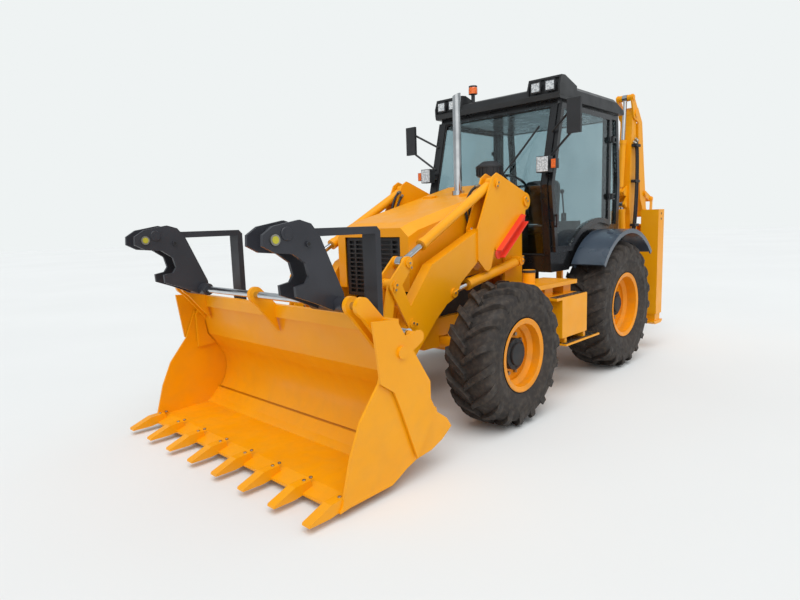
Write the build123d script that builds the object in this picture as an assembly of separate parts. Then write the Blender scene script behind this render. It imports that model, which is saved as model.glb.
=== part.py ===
from build123d import *
import math
import os

# Backhoe loader, built as separate pieces on moving bodies.
# Millimetres.  X runs forward from the rear axle, Y to the machine's left, Z up from the ground.
# A place in the side view is written (x, z); the pieces of one side are drawn on the left and mirrored.

# ------------------------------------------------------------------ fits
FIT = 0.3          # radial play of a pin in its bore, a rod in its gland, a slide on its rail
SIDE = 3.0         # play on each side of an eye between its ears
RUN = 6.0          # running clearance between pieces that move past each other

# ------------------------------------------------------------------ wheels and axles
WHEEL_BASE = 2200.0
REAR_TYRE_R = 665.0
REAR_TYRE_W = 450.0
REAR_SEAT_R = 305.0          # bead seat, a 24 inch rim
REAR_WHEEL_Y = 845.0
FRONT_TYRE_R = 560.0
FRONT_TYRE_W = 400.0
FRONT_SEAT_R = 254.0         # bead seat, a 20 inch rim
FRONT_WHEEL_Y = 985.0
FLANGE_H = 30.0              # height of the rim flange above the bead seat
RIM_T = 12.0
DISC_T = 16.0
HUB_R = 120.0
KINGPIN_Y = 800.0
KINGPIN_R = 24.0
AXLE_R = 75.0
LUG_H = 38.0                 # height of the tyre's lugs
SHOULDER_DROP = 55.0         # fall of the tread's flats down to the sidewall
LUG_SWEEP = 75.0             # half the length round the tread that a lug runs through
LUG_ROOT = 34.0              # half the lug's width at the middle of the tread
LUG_END = 32.0               # and at the shoulder

# ------------------------------------------------------------------ main frame
RAIL_Y = 330.0               # middle of each frame rail
RAIL_W = 60.0
RAIL_Z0 = 560.0
RAIL_Z1 = 780.0
FRAME_REAR_X = -1120.0
NOSE_X0 = 2300.0
NOSE_X1 = 2495.0
NOSE_HALF_W = 400.0
NOSE_Z0 = 550.0
NOSE_Z1 = 800.0
TOW_PIN_R = 20.0
TOWER_Y = 432.0              # inner face of the loader towers
TOWER_T = 26.0
TOWER_X0 = 1090.0
TOWER_X1 = 1390.0

# ------------------------------------------------------------------ loader arms
ARM_Y = 527.0                # middle plane of each arm, of its rams and its bucket links
ARM_W = 96.0
BOOMERANG_T = 15.0
ARM_HINGE = (1240.0, 1750.0)
ARM_PIN_R = 32.0
ARM_BOSS_R = 78.0
LIFT_FOOT = (1270.0, 1200.0)
LIFT_EYE = (2310.0, 1015.0)
TILT_FOOT = (1705.0, 1905.0)
BUCKET_PIN = (3040.0, 400.0)
TORQUE_TUBE = (2665.0, 815.0)
TORQUE_TUBE_R = 62.0
LEVER_PIN = (2840.0, 850.0)
LEVER_TOP = (2865.0, 1297.0)         # tilt ram's eye
LEVER_MID = (3005.0, 1150.0)         # bucket link's upper pin
LINK_LOW = (3150.0, 560.0)
LEVER_T = 18.0
LIFT_STROKE = (30.0, 665.0)          # shortening and lengthening from rest
LIFT_BARREL = 820.0                  # pin to gland
TILT_BARREL = 1060.0
TILT_STROKE = (160.0, 485.0)
RAM_EYE_W = 56.0
EYE_RATIO = 1.7              # a ram eye's radius over its pin's

# ------------------------------------------------------------------ loader bucket, in two jaws
BUCKET_HALF_W = 1180.0
BUCKET_PLATE = 16.0
CLAM_PIN = (3580.0, 846.0)
CLAM_RAM_FOOT = (3200.0, 366.0)
CLAM_RAM_EYE = (3395.0, 905.0)
CLAM_RAM_Y = BUCKET_HALF_W - 140     # the clam rams stand this far inside the side plates
CLAM_STROKE = (145.0, 0.0)
CLAM_BARREL = 330.0
TOOTH_TIP_X = 4270.0
FORK_RAIL = (3780.0, 1130.0)
FORK_RAIL_R = 24.0
FORK_Y = BUCKET_HALF_W - 380
FORK_HEAD = (4120.0, 1550.0)
TINE_W = 120.0
TINE_T = 45.0
TINE_BLADE_X = 3445.0                # front face of the stowed blade
TINE_TIP_Z = 620.0

# ------------------------------------------------------------------ bonnet, cab, fenders
BONNET_T = 8.0
BONNET_SPLIT_X = 1640.0
CAB_HALF_W = 700.0
DOOR_T = 35.0
DOOR_HINGE = (-250.0, CAB_HALF_W + 62)          # x, y
FENDER_R = REAR_TYRE_R + 125         # room for mud round the tyre
FENDER_T = 14.0
FENDER_Y0 = CAB_HALF_W + 42
FENDER_Y1 = REAR_WHEEL_Y + REAR_TYRE_W / 2 + 10

# ------------------------------------------------------------------ backhoe
SHIFT_Y = 420.0              # the carriage stands this far left of the middle
SLEW_X = -1400.0
BOOM_FOOT = (-1580.0, 860.0)
BOOM_TOP = (-1500.0, 2850.0)
BOOM_W = 150.0
BOOM_RAM_FOOT = (-1400.0, 1115.0)
BOOM_RAM_EYE = (-1330.0, 1730.0)
DIPPER_RAM_FOOT = (-1285.0, 1880.0)
DIPPER_TAIL = (-1395.0, 3030.0)      # the dipper ram's eye
DIPPER_TIP = (-1860.0, 1620.0)       # pin of the digging bucket
HOE_RAM_FOOT = (-1815.0, 2450.0)
HOE_IDLER = (-1830.0, 1870.0)        # idler's pin on the dipper
HOE_RAM_EYE = (-2020.0, 1800.0)      # where ram, idler and link meet
HOE_LINK_PIN = (-2010.0, 1530.0)     # link's lower pin on the bucket
BOOM_BARREL = 562.0
BOOM_STROKE = (0.0, 455.0)
DIPPER_BARREL = 640.0
DIPPER_STROKE = (355.0, 0.0)
HOE_BARREL = 365.0
HOE_STROKE = (270.0, 0.0)
HOE_HALF_W = 205.0
STABILISER_Y = 900.0
STABILISER_W = 200.0
STABILISER_X0 = -1170.0
STABILISER_X1 = -990.0
STABILISER_Z0 = 420.0
STABILISER_Z1 = 1650.0
HOUSING_T = 14.0
FOOT_Z = 300.0


# ------------------------------------------------------------------ wheels: outlines and details
WHEELS = (  # name, x, y, z, tyre radius, width, seat radius, place of the disc, lugs each side
    ("front", WHEEL_BASE, FRONT_WHEEL_Y, FRONT_TYRE_R, FRONT_TYRE_R, FRONT_TYRE_W, FRONT_SEAT_R, 40.0, 15),
    ("rear", 0.0, REAR_WHEEL_Y, REAR_TYRE_R, REAR_TYRE_R, REAR_TYRE_W, REAR_SEAT_R, 30.0, 17),
)
SPINDLE_R = 45.0

# ------------------------------------------------------------------ main frame: outlines and details
LIFT_PIN_R = 28.0
CROSS_MEMBERS = (-900.0, 500.0, 1500.0)
SLIDE_X0 = -1185.0
SLIDE_X1 = -1120.0
SLIDE_LOW = (470.0, 560.0)
SLIDE_TOP = (1010.0, 1100.0)

# ------------------------------------------------------------------ loader: outlines and details
BEAM_OUTLINE = [(1930, 1520), (2575, 1262), (2880, 912), (2900, 800), (2930, 700), (2950, 600), (2985, 500),
                (3040, 478), (3060, 325), (2975, 415), (2770, 605), (2540, 826), (2400, 935), (2345, 955),
                (2265, 985), (2215, 1085), (1930, 1275)]
BOOMERANG_OUTLINE = [(1240, 1828), (1640, 1968), (1705, 1988), (1772, 1950), (1990, 1520), (1990, 1255), (1890, 1165),
                     (1840, 1150), (1800, 1185), (1742, 1360), (1670, 1640), (1330, 1560), (1290, 1556),
                     (1262, 1590), (1240, 1672)]
# The lift ram's room in the arm.
LIFT_SLOT = [(2015, 900), (2015, 1245), (2200, 1195), (2395, 1145), (2395, 900)]
STRUT_TOP = (1305.0, 1592.0)
STRUT_END = (1700.0, 1290.0)
LINK_HALF_W = 42.0
LEVER_PIN_R = 24.0
TILT_PIN_R = 28.0
HITCH_T = 20.0

# ------------------------------------------------------------------ loader bucket: outlines and details
MOULD_TOP = (3625.0, 1045.0)
# Two ends of the arc and its middle, then the bend.
MOULD_FACE = ((3474.0, 218.0), (3405.0, 400.0), (3480.0, 590.0), (3560.0, 700.0))
OUTER_PLATE = [(3800, 1055), (3612, 1045), (3457, 810), (3330, 620), (3330, 360), (3463, 164), (3588, 486),
               (3647, 622), (3752, 693)]
CLAM_PLATE = [(3660, 905), (3750, 690), (3900, 507), (3980, 330), (4045, 100), (4060, 52), (3668, 60), (3600, 90),
              (3540, 120), (3450, 149), (3310, 164), (3200, 203), (3105, 265), (3150, 330), (3250, 400), (3460, 780)]
CLAM_FLOOR = [(4070, 45), (4070, 60), (3960, 92), (3604, 106), (3556, 143), (3492, 210), (3478, 196), (3540, 128),
              (3600, 90), (3950, 60)]
INNER_EAR = [(3660, 600), (3662, 880), (3610, 945), (3570, 700), (3500, 610)]
CLAM_RAM_EAR = [(3158, 345), (3185, 322), (3330, 300), (3405, 330), (3400, 410), (3215, 408), (3170, 395)]
HITCH_OUTLINE = [(3040, 315), (3120, 330), (3410, 240), (3396, 400), (3415, 520), (3560, 760), (3590, 900), (3430, 800),
                 (3200, 640), (3130, 625), (3085, 560), (2960, 430), (2985, 345)]
PIN_HEAD = 16.0
JAW_Y = BUCKET_HALF_W - BUCKET_PLATE - RUN          # outer face of the clam's side plates
MOULD_Y = JAW_Y - BUCKET_PLATE - RUN                # ends of the mouldboard
TEETH = 8
TOOTH_W = 66.0
CLAM_PIN_R = 24.0
FORK_RAIL_END = BUCKET_HALF_W - 90
CARRIER_T = 22.0
FORK_PIN_R = 22.0
LOCK_HOLE = (3985.0, 1490.0)

# ------------------------------------------------------------------ bonnet, grille, engine: outlines and details
BONNET_SECTIONS = (  # x, half width, low z, shoulder z, top z, half width of the top
    (1165.0, 425.0, 1150.0, 1868.0, 1935.0, 370.0),
    (1640.0, 425.0, 1130.0, 1750.0, 1818.0, 362.0),
    (2560.0, 425.0, 1062.0, 1528.0, 1592.0, 350.0),
    (2662.0, 415.0, 1050.0, 1478.0, 1548.0, 335.0),
)
BONNET_HINGE = (1643.0, 1828.0)
GRILLE_HALF_W = 325.0
GRILLE_TOP = 1478.0
GRILLE_X = 2605.0
GRILLE_SLOTS = 12            # slots one above the other
GRILLE_COLUMNS = ((-285, -225), (-205, -8), (8, 205), (225, 285))      # y of each column of slots
EXHAUST = (1550.0, 50.0, 38.0, 2800.0)     # x, y, radius, top
PRECLEANER = (1350.0, 270.0)               # x, y

# ------------------------------------------------------------------ cab: outlines and details
CAB_OUTLINE = [(960, 1070), (1046, 1900), (842, 2690), (-520, 2690), (-600, 1950), (-560, 1070)]
CAB_WALL = 50.0
CAB_ARCH_R = REAR_TYRE_R + 60           # recess over each rear wheel
CAB_ARCH_Y = 560.0
GLASS_T = 6.0
GLASS_INSET = 22.0
DOOR_OUTLINE = [(948, 1262), (1036, 1890), (838, 2655), (-262, 2655), (-262, 1262)]
DOOR_ARCH_R = 860.0
DOOR_RIM = 52.0
QUARTER_WINDOW = [(-300, 1500), (-300, 2630), (-470, 2630), (-535, 1950), (-510, 1500)]
DOOR_HINGE_Z = (1780.0, 2380.0)
POD_Y = 575.0
POD_HALF_W = 172.0
FENDER_ARC = (36.0, 138.0)      # degrees above the front horizontal

# ------------------------------------------------------------------ backhoe: outlines and details
LUG_R = 70.0                 # round of the carriage's lugs
LUG_Z = ((590.0, 650.0), (965.0, 1025.0))
SLEW_PIN_R = 35.0
CARRIAGE_HALF_W = 230.0
CARRIAGE_T = 40.0
CHEEK_Y = BOOM_W / 2 + RUN   # inner face of the kingpost's cheeks
CHEEK_T = 25.0
BOOM_PIN_R = 32.0
HOE_PIN_R = 24.0
SMALL_PIN_R = 20.0
DIPPER_HALF_W = 96.0
IDLER_T = 12.0
IDLER_Y = DIPPER_HALF_W + SIDE               # inner face of the idlers and of the bucket's ears
LINK_Y = IDLER_Y + IDLER_T + SIDE            # inner face of the links
BOOM_OUTLINE = [(-1512, 880), (-1512, 1170), (-1452, 1300), (-1428, 1600), (-1400, 1690), (-1387, 1800),
                (-1400, 2300), (-1440, 2700), (-1428, 2850), (-1500, 2925), (-1572, 2850), (-1560, 2700),
                (-1600, 2200), (-1640, 1700), (-1662, 1300), (-1648, 860)]
BOOM_RAM_EAR = [(-1395, 1690), (-1330, 1690), (-1290, 1730), (-1330, 1775), (-1392, 1850)]
DIPPER_RAM_EAR = [(-1392, 1830), (-1300, 1838), (-1243, 1880), (-1300, 1925), (-1394, 1960)]
DIPPER_OUTLINE = [(-1582, 2740), (-1624, 2200), (-1700, 1800), (-1805, 1640), (-1915, 1640), (-1855, 1950),
                  (-1795, 2250), (-1705, 2760)]
DIPPER_HEAD = [(-1440, 2800), (-1425, 2880), (-1560, 2925), (-1705, 2760), (-1660, 2500), (-1595, 2500),
               (-1585, 2745)]
HOE_RAM_EAR = [(-1752, 2380), (-1800, 2405), (-1855, 2450), (-1800, 2495), (-1745, 2520)]
HOE_SIDE = [(-1850, 1472), (-1694, 1002), (-1790, 960), (-1990, 985), (-2100, 1200), (-2088, 1420), (-2030, 1472)]
HOE_SKIN = [(-1715, 983), (-1790, 960), (-1990, 985), (-2100, 1200), (-2088, 1420), (-2030, 1472), (-1850, 1472),
            (-1850, 1456), (-2024, 1456), (-2072, 1412), (-2083, 1204), (-1980, 1001), (-1788, 977), (-1722, 996)]
HOE_TEETH = 4

LOADER_RAMS = (  # name, foot, eye, y, barrel length, barrel radius, rod radius, pin radius, stroke
    ("lift_ram", LIFT_FOOT, LIFT_EYE, ARM_Y, LIFT_BARREL, 45.0, 26.0, LIFT_PIN_R, LIFT_STROKE),
    ("tilt_ram", TILT_FOOT, LEVER_TOP, ARM_Y, TILT_BARREL, 41.0, 24.0, TILT_PIN_R, TILT_STROKE),
    ("clam_ram", CLAM_RAM_FOOT, CLAM_RAM_EYE, CLAM_RAM_Y, CLAM_BARREL, 34.0, 19.0, CLAM_PIN_R, CLAM_STROKE),
)
HOE_RAMS = (
    ("boom_ram", BOOM_RAM_FOOT, BOOM_RAM_EYE, 0.0, BOOM_BARREL, 45.0, 25.0, HOE_PIN_R, BOOM_STROKE),
    ("dipper_ram", DIPPER_RAM_FOOT, DIPPER_TAIL, 0.0, DIPPER_BARREL, 38.0, 22.0, HOE_PIN_R, DIPPER_STROKE),
    ("hoe_ram", HOE_RAM_FOOT, HOE_RAM_EYE, 0.0, HOE_BARREL, 34.0, 18.0, SMALL_PIN_R, HOE_STROKE),
)


# ================================================================== helpers
def side_plate(outline, y0, y1, corner=0.0):
    """A plate cut to an outline of (x, z) points, standing between two y places."""
    points = [(x, y0, z) for x, z in outline]
    if corner:
        wire = FilletPolyline(*points, radius=corner, close=True)
    else:
        wire = Polyline(*points, close=True)
    return extrude(make_face(wire), amount=y1 - y0, dir=(0, 1, 0))


def across(place, radius, y0, y1):
    """A round bar along Y at a place of the side view."""
    return Solid.make_cylinder(radius, y1 - y0, Plane((place[0], y0, place[1]), z_dir=(0, 1, 0)))


def bar(start, end, radius):
    """A round bar between two points in space."""
    axis = Vector(*end) - Vector(*start)
    return Solid.make_cylinder(radius, axis.length, Plane(start, z_dir=axis))


def block(x0, x1, y0, y1, z0, z1):
    """A block between six faces."""
    return Pos((x0 + x1) / 2, (y0 + y1) / 2, (z0 + z1) / 2) * Box(x1 - x0, y1 - y0, z1 - z0)


def strap(a, b, radius_a, radius_b, y0, y1):
    """A link plate: two round ends and the straight sides tangent to both."""
    dx, dz = b[0] - a[0], b[1] - a[1]
    length = math.hypot(dx, dz)
    lean = math.asin((radius_a - radius_b) / length)
    run = math.atan2(dz, dx)
    corners = []
    for side, (centre, radius) in ((1, (a, radius_a)), (1, (b, radius_b)), (-1, (b, radius_b)), (-1, (a, radius_a))):
        turn = run + side * (math.pi / 2 - lean)
        corners.append((centre[0] + radius * math.cos(turn), centre[1] + radius * math.sin(turn)))
    return side_plate(corners, y0, y1) + across(a, radius_a, y0, y1) + across(b, radius_b, y0, y1)


def mirrored(shape):
    """The same piece on the machine's right."""
    return mirror(shape, about=Plane.XZ)


def both(shape):
    """A piece and its mirror image."""
    return shape + mirrored(shape)


def weldment(*members):
    """Members that meet without overlapping, each giving way to those before it, as a compound of solids."""
    solids = []
    for member in members:
        for solid in solids:
            member -= solid
        solids += member.solids()
    return Compound(solids)


def along(a, b, distance):
    """The place at a distance from a, on the line to b."""
    length = math.hypot(b[0] - a[0], b[1] - a[1])
    return (a[0] + (b[0] - a[0]) * distance / length, a[1] + (b[1] - a[1]) * distance / length)


def space(place, y):
    """A place of the side view as a point in space."""
    return (place[0], y, place[1])


def ram(foot, eye, y, barrel_length, barrel_r, rod_r, pin_r, stroke):
    """A hydraulic ram as (barrel, rod).  stroke is how far it shortens and lengthens from rest."""
    shorten, lengthen = stroke
    eye_r = pin_r * EYE_RATIO
    gland_length = 45
    rod_start = barrel_length - lengthen - gland_length
    half = RAM_EYE_W / 2
    neck = eye_r + 20
    barrel = bar(space(foot, y), space(along(foot, eye, neck + 5), y), half - 1)
    barrel += bar(space(along(foot, eye, neck), y), space(along(foot, eye, barrel_length), y), barrel_r)
    barrel += bar(space(along(foot, eye, barrel_length - gland_length), y),
                  space(along(foot, eye, barrel_length), y), barrel_r + 5)
    barrel += across(foot, eye_r, y - half, y + half)
    barrel -= across(foot, pin_r + FIT, y - half, y + half)
    bore_start = along(foot, eye, rod_start - shorten - 15)
    barrel -= bar(space(bore_start, y), space(along(foot, eye, barrel_length + 1), y), rod_r + FIT)
    rod = bar(space(along(foot, eye, rod_start), y), space(eye, y), rod_r)
    rod += across(eye, eye_r, y - half, y + half)
    return barrel, rod


def ears(place, y, thickness, outline, pin_r, pin=True):
    """Two ear plates beside an eye; the pin, if it is carried here, spans them with a head outside each."""
    gap = RAM_EYE_W / 2 + SIDE
    pair = Part()
    for side in (-1, 1):
        near, far = sorted((y + side * gap, y + side * (gap + thickness)))
        pair += side_plate(outline, near, far)
        head = sorted((y + side * (gap + thickness), y + side * (gap + thickness + 12)))
        pair += across(place, pin_r * 1.35, *head)
    if pin:
        pair += across(place, pin_r, y - gap - thickness, y + gap + thickness)
    return pair


# ================================================================== wheels
def rim(seat_r, width, hub_offset):
    """Rim, dished disc and hub about the Y axis; the outer face looks to +Y."""
    half = width / 2
    flange = seat_r + FLANGE_H
    inner = seat_r - RIM_T
    well = inner - 34
    # (radius, y) round the section of the barrel
    section = [(flange, half), (seat_r, half - 12), (seat_r, -half + 12), (flange, -half), (flange - 8, -half - 3),
               (inner, -half + 6), (inner, hub_offset - 60), (well, hub_offset - 30), (well, hub_offset + 30),
               (inner, hub_offset + 60), (inner, half - 6), (flange - 8, half + 3)]
    barrel = revolve(make_face(Polyline(*[(r, y, 0) for r, y in section], close=True)), Axis.Y)
    disc = Cylinder(well + 4, DISC_T, rotation=(90, 0, 0)) - Cylinder(HUB_R - 10, DISC_T, rotation=(90, 0, 0))
    hub = Cylinder(HUB_R, 90, rotation=(90, 0, 0)) - Pos(0, -45, 0) * Cylinder(HUB_R - 25, 30, rotation=(90, 0, 0))
    return barrel + Pos(0, hub_offset, 0) * disc, Pos(0, hub_offset, 0) * hub


def carcass(tyre_r, width, seat_r, rim_width, lugs):
    """Tyre without its lugs, about the Y axis, made of flats and seated between the rim's flanges."""
    bead = rim_width / 2 - 13
    side_y = 0.95 * width / 2
    tread_y = 0.6 * width / 2
    flange = seat_r + FLANGE_H + 10
    tread = tyre_r - LUG_H
    mouth = (tread + seat_r) / 2 - 45
    slope = math.degrees(math.atan2(SHOULDER_DROP, side_y - tread_y))
    sides = 4 * lugs // 3
    outline = RegularPolygon(tread, sides)
    body = extrude(Plane.XZ * outline, amount=tread_y, both=True)
    for side in (-1, 1):
        face = Plane(origin=(0, side * tread_y, 0), x_dir=(1, 0, 0), z_dir=(0, side, 0))
        body += extrude(face * outline, amount=side_y - tread_y, taper=slope)
        hollow = [Plane.XZ.offset(-side * y) * RegularPolygon(r, sides) for y, r in ((bead, flange), (side_y, mouth))]
        body -= loft(hollow, ruled=True)
    return body - extrude(Plane.XZ * RegularPolygon(seat_r, sides, major_radius=False), amount=width, both=True)


def lug(tyre_r, width):
    """One lug on top of the tyre: it leads at the middle of the tread and ends down the left shoulder."""
    half = 0.97 * width / 2
    lead = LUG_SWEEP + LUG_ROOT
    top = math.sqrt(tyre_r ** 2 - lead ** 2)
    footprint = Polyline((lead, -10, 0), (lead - 2 * LUG_ROOT, -10, 0), (-lead, half, 0),
                         (-lead + 2 * LUG_END, half, 0), close=True)
    section = Polyline((0, -10, top), (0, 0.8 * half, top), (0, half, top - 32), (0, half, top - LUG_H - 50),
                       (0, -10, top - LUG_H - 22), close=True)
    across_tread = extrude(make_face(section), amount=2 * lead, dir=(1, 0, 0)).move(Location((-lead, 0, 0)))
    return extrude(make_face(footprint), amount=tyre_r, dir=(0, 0, 1)) & across_tread


def tyre(tyre_r, width, seat_r, rim_width, lugs):
    """Tyre with its chevron of lugs, the left side's half a pitch behind the right's."""
    left = lug(tyre_r, width)
    right = mirrored(left)
    pattern = []
    for number in range(lugs):
        turn = number * 360 / lugs
        pattern.append(left.rotate(Axis.Y, turn))
        pattern.append(right.rotate(Axis.Y, turn + 180 / lugs))
    return carcass(tyre_r, width, seat_r, rim_width, lugs) + pattern


def wheel(tyre_r, width, seat_r, hub_offset, lugs):
    """(rim, hub, tyre) about the Y axis."""
    rim_width = width * 0.86
    disc, hub = rim(seat_r, rim_width, hub_offset)
    return disc, hub, tyre(tyre_r, width, seat_r, rim_width, lugs)


def wheel_nodes():
    """Rim with its hub, and tyre, for the four wheels."""
    nodes = {}
    for name, x, y, z, tyre_r, width, seat_r, disc_y, lugs in WHEELS:
        disc, hub, rubber = wheel(tyre_r, width, seat_r, disc_y, lugs)
        metal = disc + hub - Pos(0, disc_y - 45, 0) * Cylinder(SPINDLE_R + FIT, 90, rotation=(90, 0, 0))
        for side, sign in (("left", 1), ("right", -1)):
            place = Pos(x, sign * y, z)
            nodes[f"{name}_rim_{side}"] = place * (metal if sign > 0 else mirrored(metal))
            nodes[f"{name}_tyre_{side}"] = place * (rubber if sign > 0 else mirrored(rubber))
    return nodes


# ================================================================== axles and steering knuckles
def front_axle():
    """Beam with a round boss at each kingpin, its middle drive housing and the pivot under the frame."""
    z = FRONT_TYRE_R
    beam = bar((WHEEL_BASE, -KINGPIN_Y + 35, z), (WHEEL_BASE, KINGPIN_Y - 35, z), AXLE_R * 0.8)
    beam += Pos(WHEEL_BASE, 0, z) * Sphere(95)
    beam += both(block(WHEEL_BASE - 60, WHEEL_BASE + 60, 0, RAIL_Y - RAIL_W / 2 - FIT, z - 40, z + 90))
    ends = Pos(WHEEL_BASE, KINGPIN_Y, z) * Cylinder(52, 150)
    ends -= Pos(WHEEL_BASE, KINGPIN_Y, z) * Cylinder(KINGPIN_R + FIT, 150)
    return beam + both(ends)


def knuckle():
    """Forked knuckle about the left kingpin, with the wheel's spindle and its steering arm."""
    z = FRONT_TYRE_R
    x, y = WHEEL_BASE, KINGPIN_Y
    pin = Pos(x, y, z) * Cylinder(KINGPIN_R, 190)
    fork = Part()
    for side in (-1, 1):
        fork += Pos(x, y, z + side * 87) * Cylinder(50, 22)
        fork += block(x - 45, x + 45, y, y + 100, z + side * 87 - 11, z + side * 87 + 11)
    back = block(x - 60, x + 60, y + 70, y + 110, z - 98, z + 98)
    spindle = bar((x, y + 110, z), (x, FRONT_WHEEL_Y + WHEELS[0][7] - 1, z), SPINDLE_R)
    arm = block(x - 190, x - 40, y - 20, y + 25, z - 98, z - 76)
    return pin + fork + back + spindle + arm


def rear_axle():
    """Rear axle casing with its spindles, under the frame rails."""
    z = REAR_TYRE_R
    casing = bar((0, -REAR_WHEEL_Y + 60, z), (0, REAR_WHEEL_Y - 60, z), AXLE_R)
    casing += Pos(0, 0, z) * Sphere(190)
    casing += both(block(-AXLE_R, AXLE_R, RAIL_Y - RAIL_W / 2, RAIL_Y + RAIL_W / 2, z - 90, z + 90))
    spindle = bar((0, REAR_WHEEL_Y - 60, z), (0, REAR_WHEEL_Y + WHEELS[1][7] - 1, z), SPINDLE_R)
    return casing + both(spindle)


# ================================================================== main frame
def frame_rails():
    """The two rails, cut out for the axles, and the cross members between them."""
    y0, y1 = RAIL_Y - RAIL_W / 2, RAIL_Y + RAIL_W / 2
    rails = both(block(FRAME_REAR_X + 40, NOSE_X0, y0, y1, RAIL_Z0, RAIL_Z1))
    rails -= block(-AXLE_R - FIT, AXLE_R + FIT, -500, 500, REAR_TYRE_R - 90 - FIT, REAR_TYRE_R + 90 + FIT)
    rails -= block(WHEEL_BASE - 65, WHEEL_BASE + 65, -400, 400, RAIL_Z0, FRONT_TYRE_R + 64)
    members = [block(x - 40, x + 40, -y0, y0, RAIL_Z0 + 30, RAIL_Z1 - 30) for x in CROSS_MEMBERS]
    return [rails] + members


def nose_block():
    """Cast nose under the radiator, hollow in front, with the tow pin's bore."""
    nose = side_plate([(NOSE_X0, NOSE_Z0), (NOSE_X1, NOSE_Z0), (NOSE_X1, NOSE_Z1 - 60), (NOSE_X1 - 40, NOSE_Z1),
                       (NOSE_X0, NOSE_Z1)], -NOSE_HALF_W, NOSE_HALF_W)
    nose -= block(NOSE_X0 + 60, NOSE_X1 + 10, -NOSE_HALF_W + 40, NOSE_HALF_W - 40, NOSE_Z0 + 90, NOSE_Z1 - 90)
    nose -= Pos((NOSE_X0 + 60 + NOSE_X1) / 2, 0, NOSE_Z0) * Cylinder(TOW_PIN_R + FIT, 2000)
    return nose - both(across((NOSE_X1 - 95, NOSE_Z1 - 35), 22, NOSE_HALF_W - 60, NOSE_HALF_W + 10))


def loader_tower():
    """Left tower: the plate that carries the loader arm and its lift ram, on a foot beside the rail."""
    tower = side_plate([(TOWER_X0, RAIL_Z0), (TOWER_X1, RAIL_Z0), (TOWER_X1, 1450), (ARM_HINGE[0] + 90, 1790),
                        (ARM_HINGE[0] + 40, 1835), (ARM_HINGE[0] - 60, 1835), (TOWER_X0, 1760)],
                       TOWER_Y, TOWER_Y + TOWER_T)
    tower += block(TOWER_X0, TOWER_X1, RAIL_Y + RAIL_W / 2, TOWER_Y, RAIL_Z0 + 20, RAIL_Z1)
    outer = ARM_Y + ARM_W / 2 + BOOMERANG_T + SIDE
    tower += across(ARM_HINGE, ARM_PIN_R, TOWER_Y, outer)
    tower += across(ARM_HINGE, ARM_PIN_R * 1.5, outer, outer + 14)
    lift_half = RAM_EYE_W / 2 + SIDE
    tower += across(LIFT_FOOT, LIFT_PIN_R, TOWER_Y, ARM_Y + lift_half)
    tower += across(LIFT_FOOT, LIFT_PIN_R * 1.35, ARM_Y + lift_half, ARM_Y + lift_half + 12)
    return tower + across(LIFT_FOOT, LIFT_PIN_R * 1.6, TOWER_Y + TOWER_T, ARM_Y - lift_half)


def slide_frame():
    """Rear frame: two rails across the machine, their uprights and the stabiliser housings."""
    half = STABILISER_Y - STABILISER_W / 2
    members = [block(SLIDE_X0, SLIDE_X1, -half, half, z0, z1) for z0, z1 in (SLIDE_LOW, SLIDE_TOP)]
    members += [block(SLIDE_X1, FRAME_REAR_X + 40, y - 40, y + 40, SLIDE_LOW[0], SLIDE_TOP[1] - 40)
                for y in (-300.0, 300.0)]
    housing = block(STABILISER_X0, STABILISER_X1, half, half + STABILISER_W, STABILISER_Z0, STABILISER_Z1)
    housing -= block(STABILISER_X0 + HOUSING_T, STABILISER_X1 - HOUSING_T, half + HOUSING_T,
                     half + STABILISER_W - HOUSING_T, STABILISER_Z0, STABILISER_Z1 - HOUSING_T)
    return members + [both(housing)]


def chassis():
    """Weldment of rails, nose, loader towers and rear slide frame, each member a solid that meets its neighbours."""
    return weldment(*frame_rails(), nose_block(), both(loader_tower()), *slide_frame())


def stabiliser():
    """Left stabiliser: the leg inside its housing and the foot plate below it."""
    wall = HOUSING_T + FIT
    y0, y1 = STABILISER_Y - STABILISER_W / 2 + wall, STABILISER_Y + STABILISER_W / 2 - wall
    leg = block(STABILISER_X0 + wall, STABILISER_X1 - wall, y0, y1, FOOT_Z + 30, STABILISER_Z1 - 120)
    foot = side_plate([(STABILISER_X0 - 40, FOOT_Z + 25), (STABILISER_X0, FOOT_Z), (STABILISER_X1, FOOT_Z),
                       (STABILISER_X1 + 40, FOOT_Z + 25), (STABILISER_X1 + 40, FOOT_Z + 37),
                       (STABILISER_X0 - 40, FOOT_Z + 37)], STABILISER_Y - 130, STABILISER_Y + 100)
    return leg + foot


# ================================================================== loader


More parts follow.
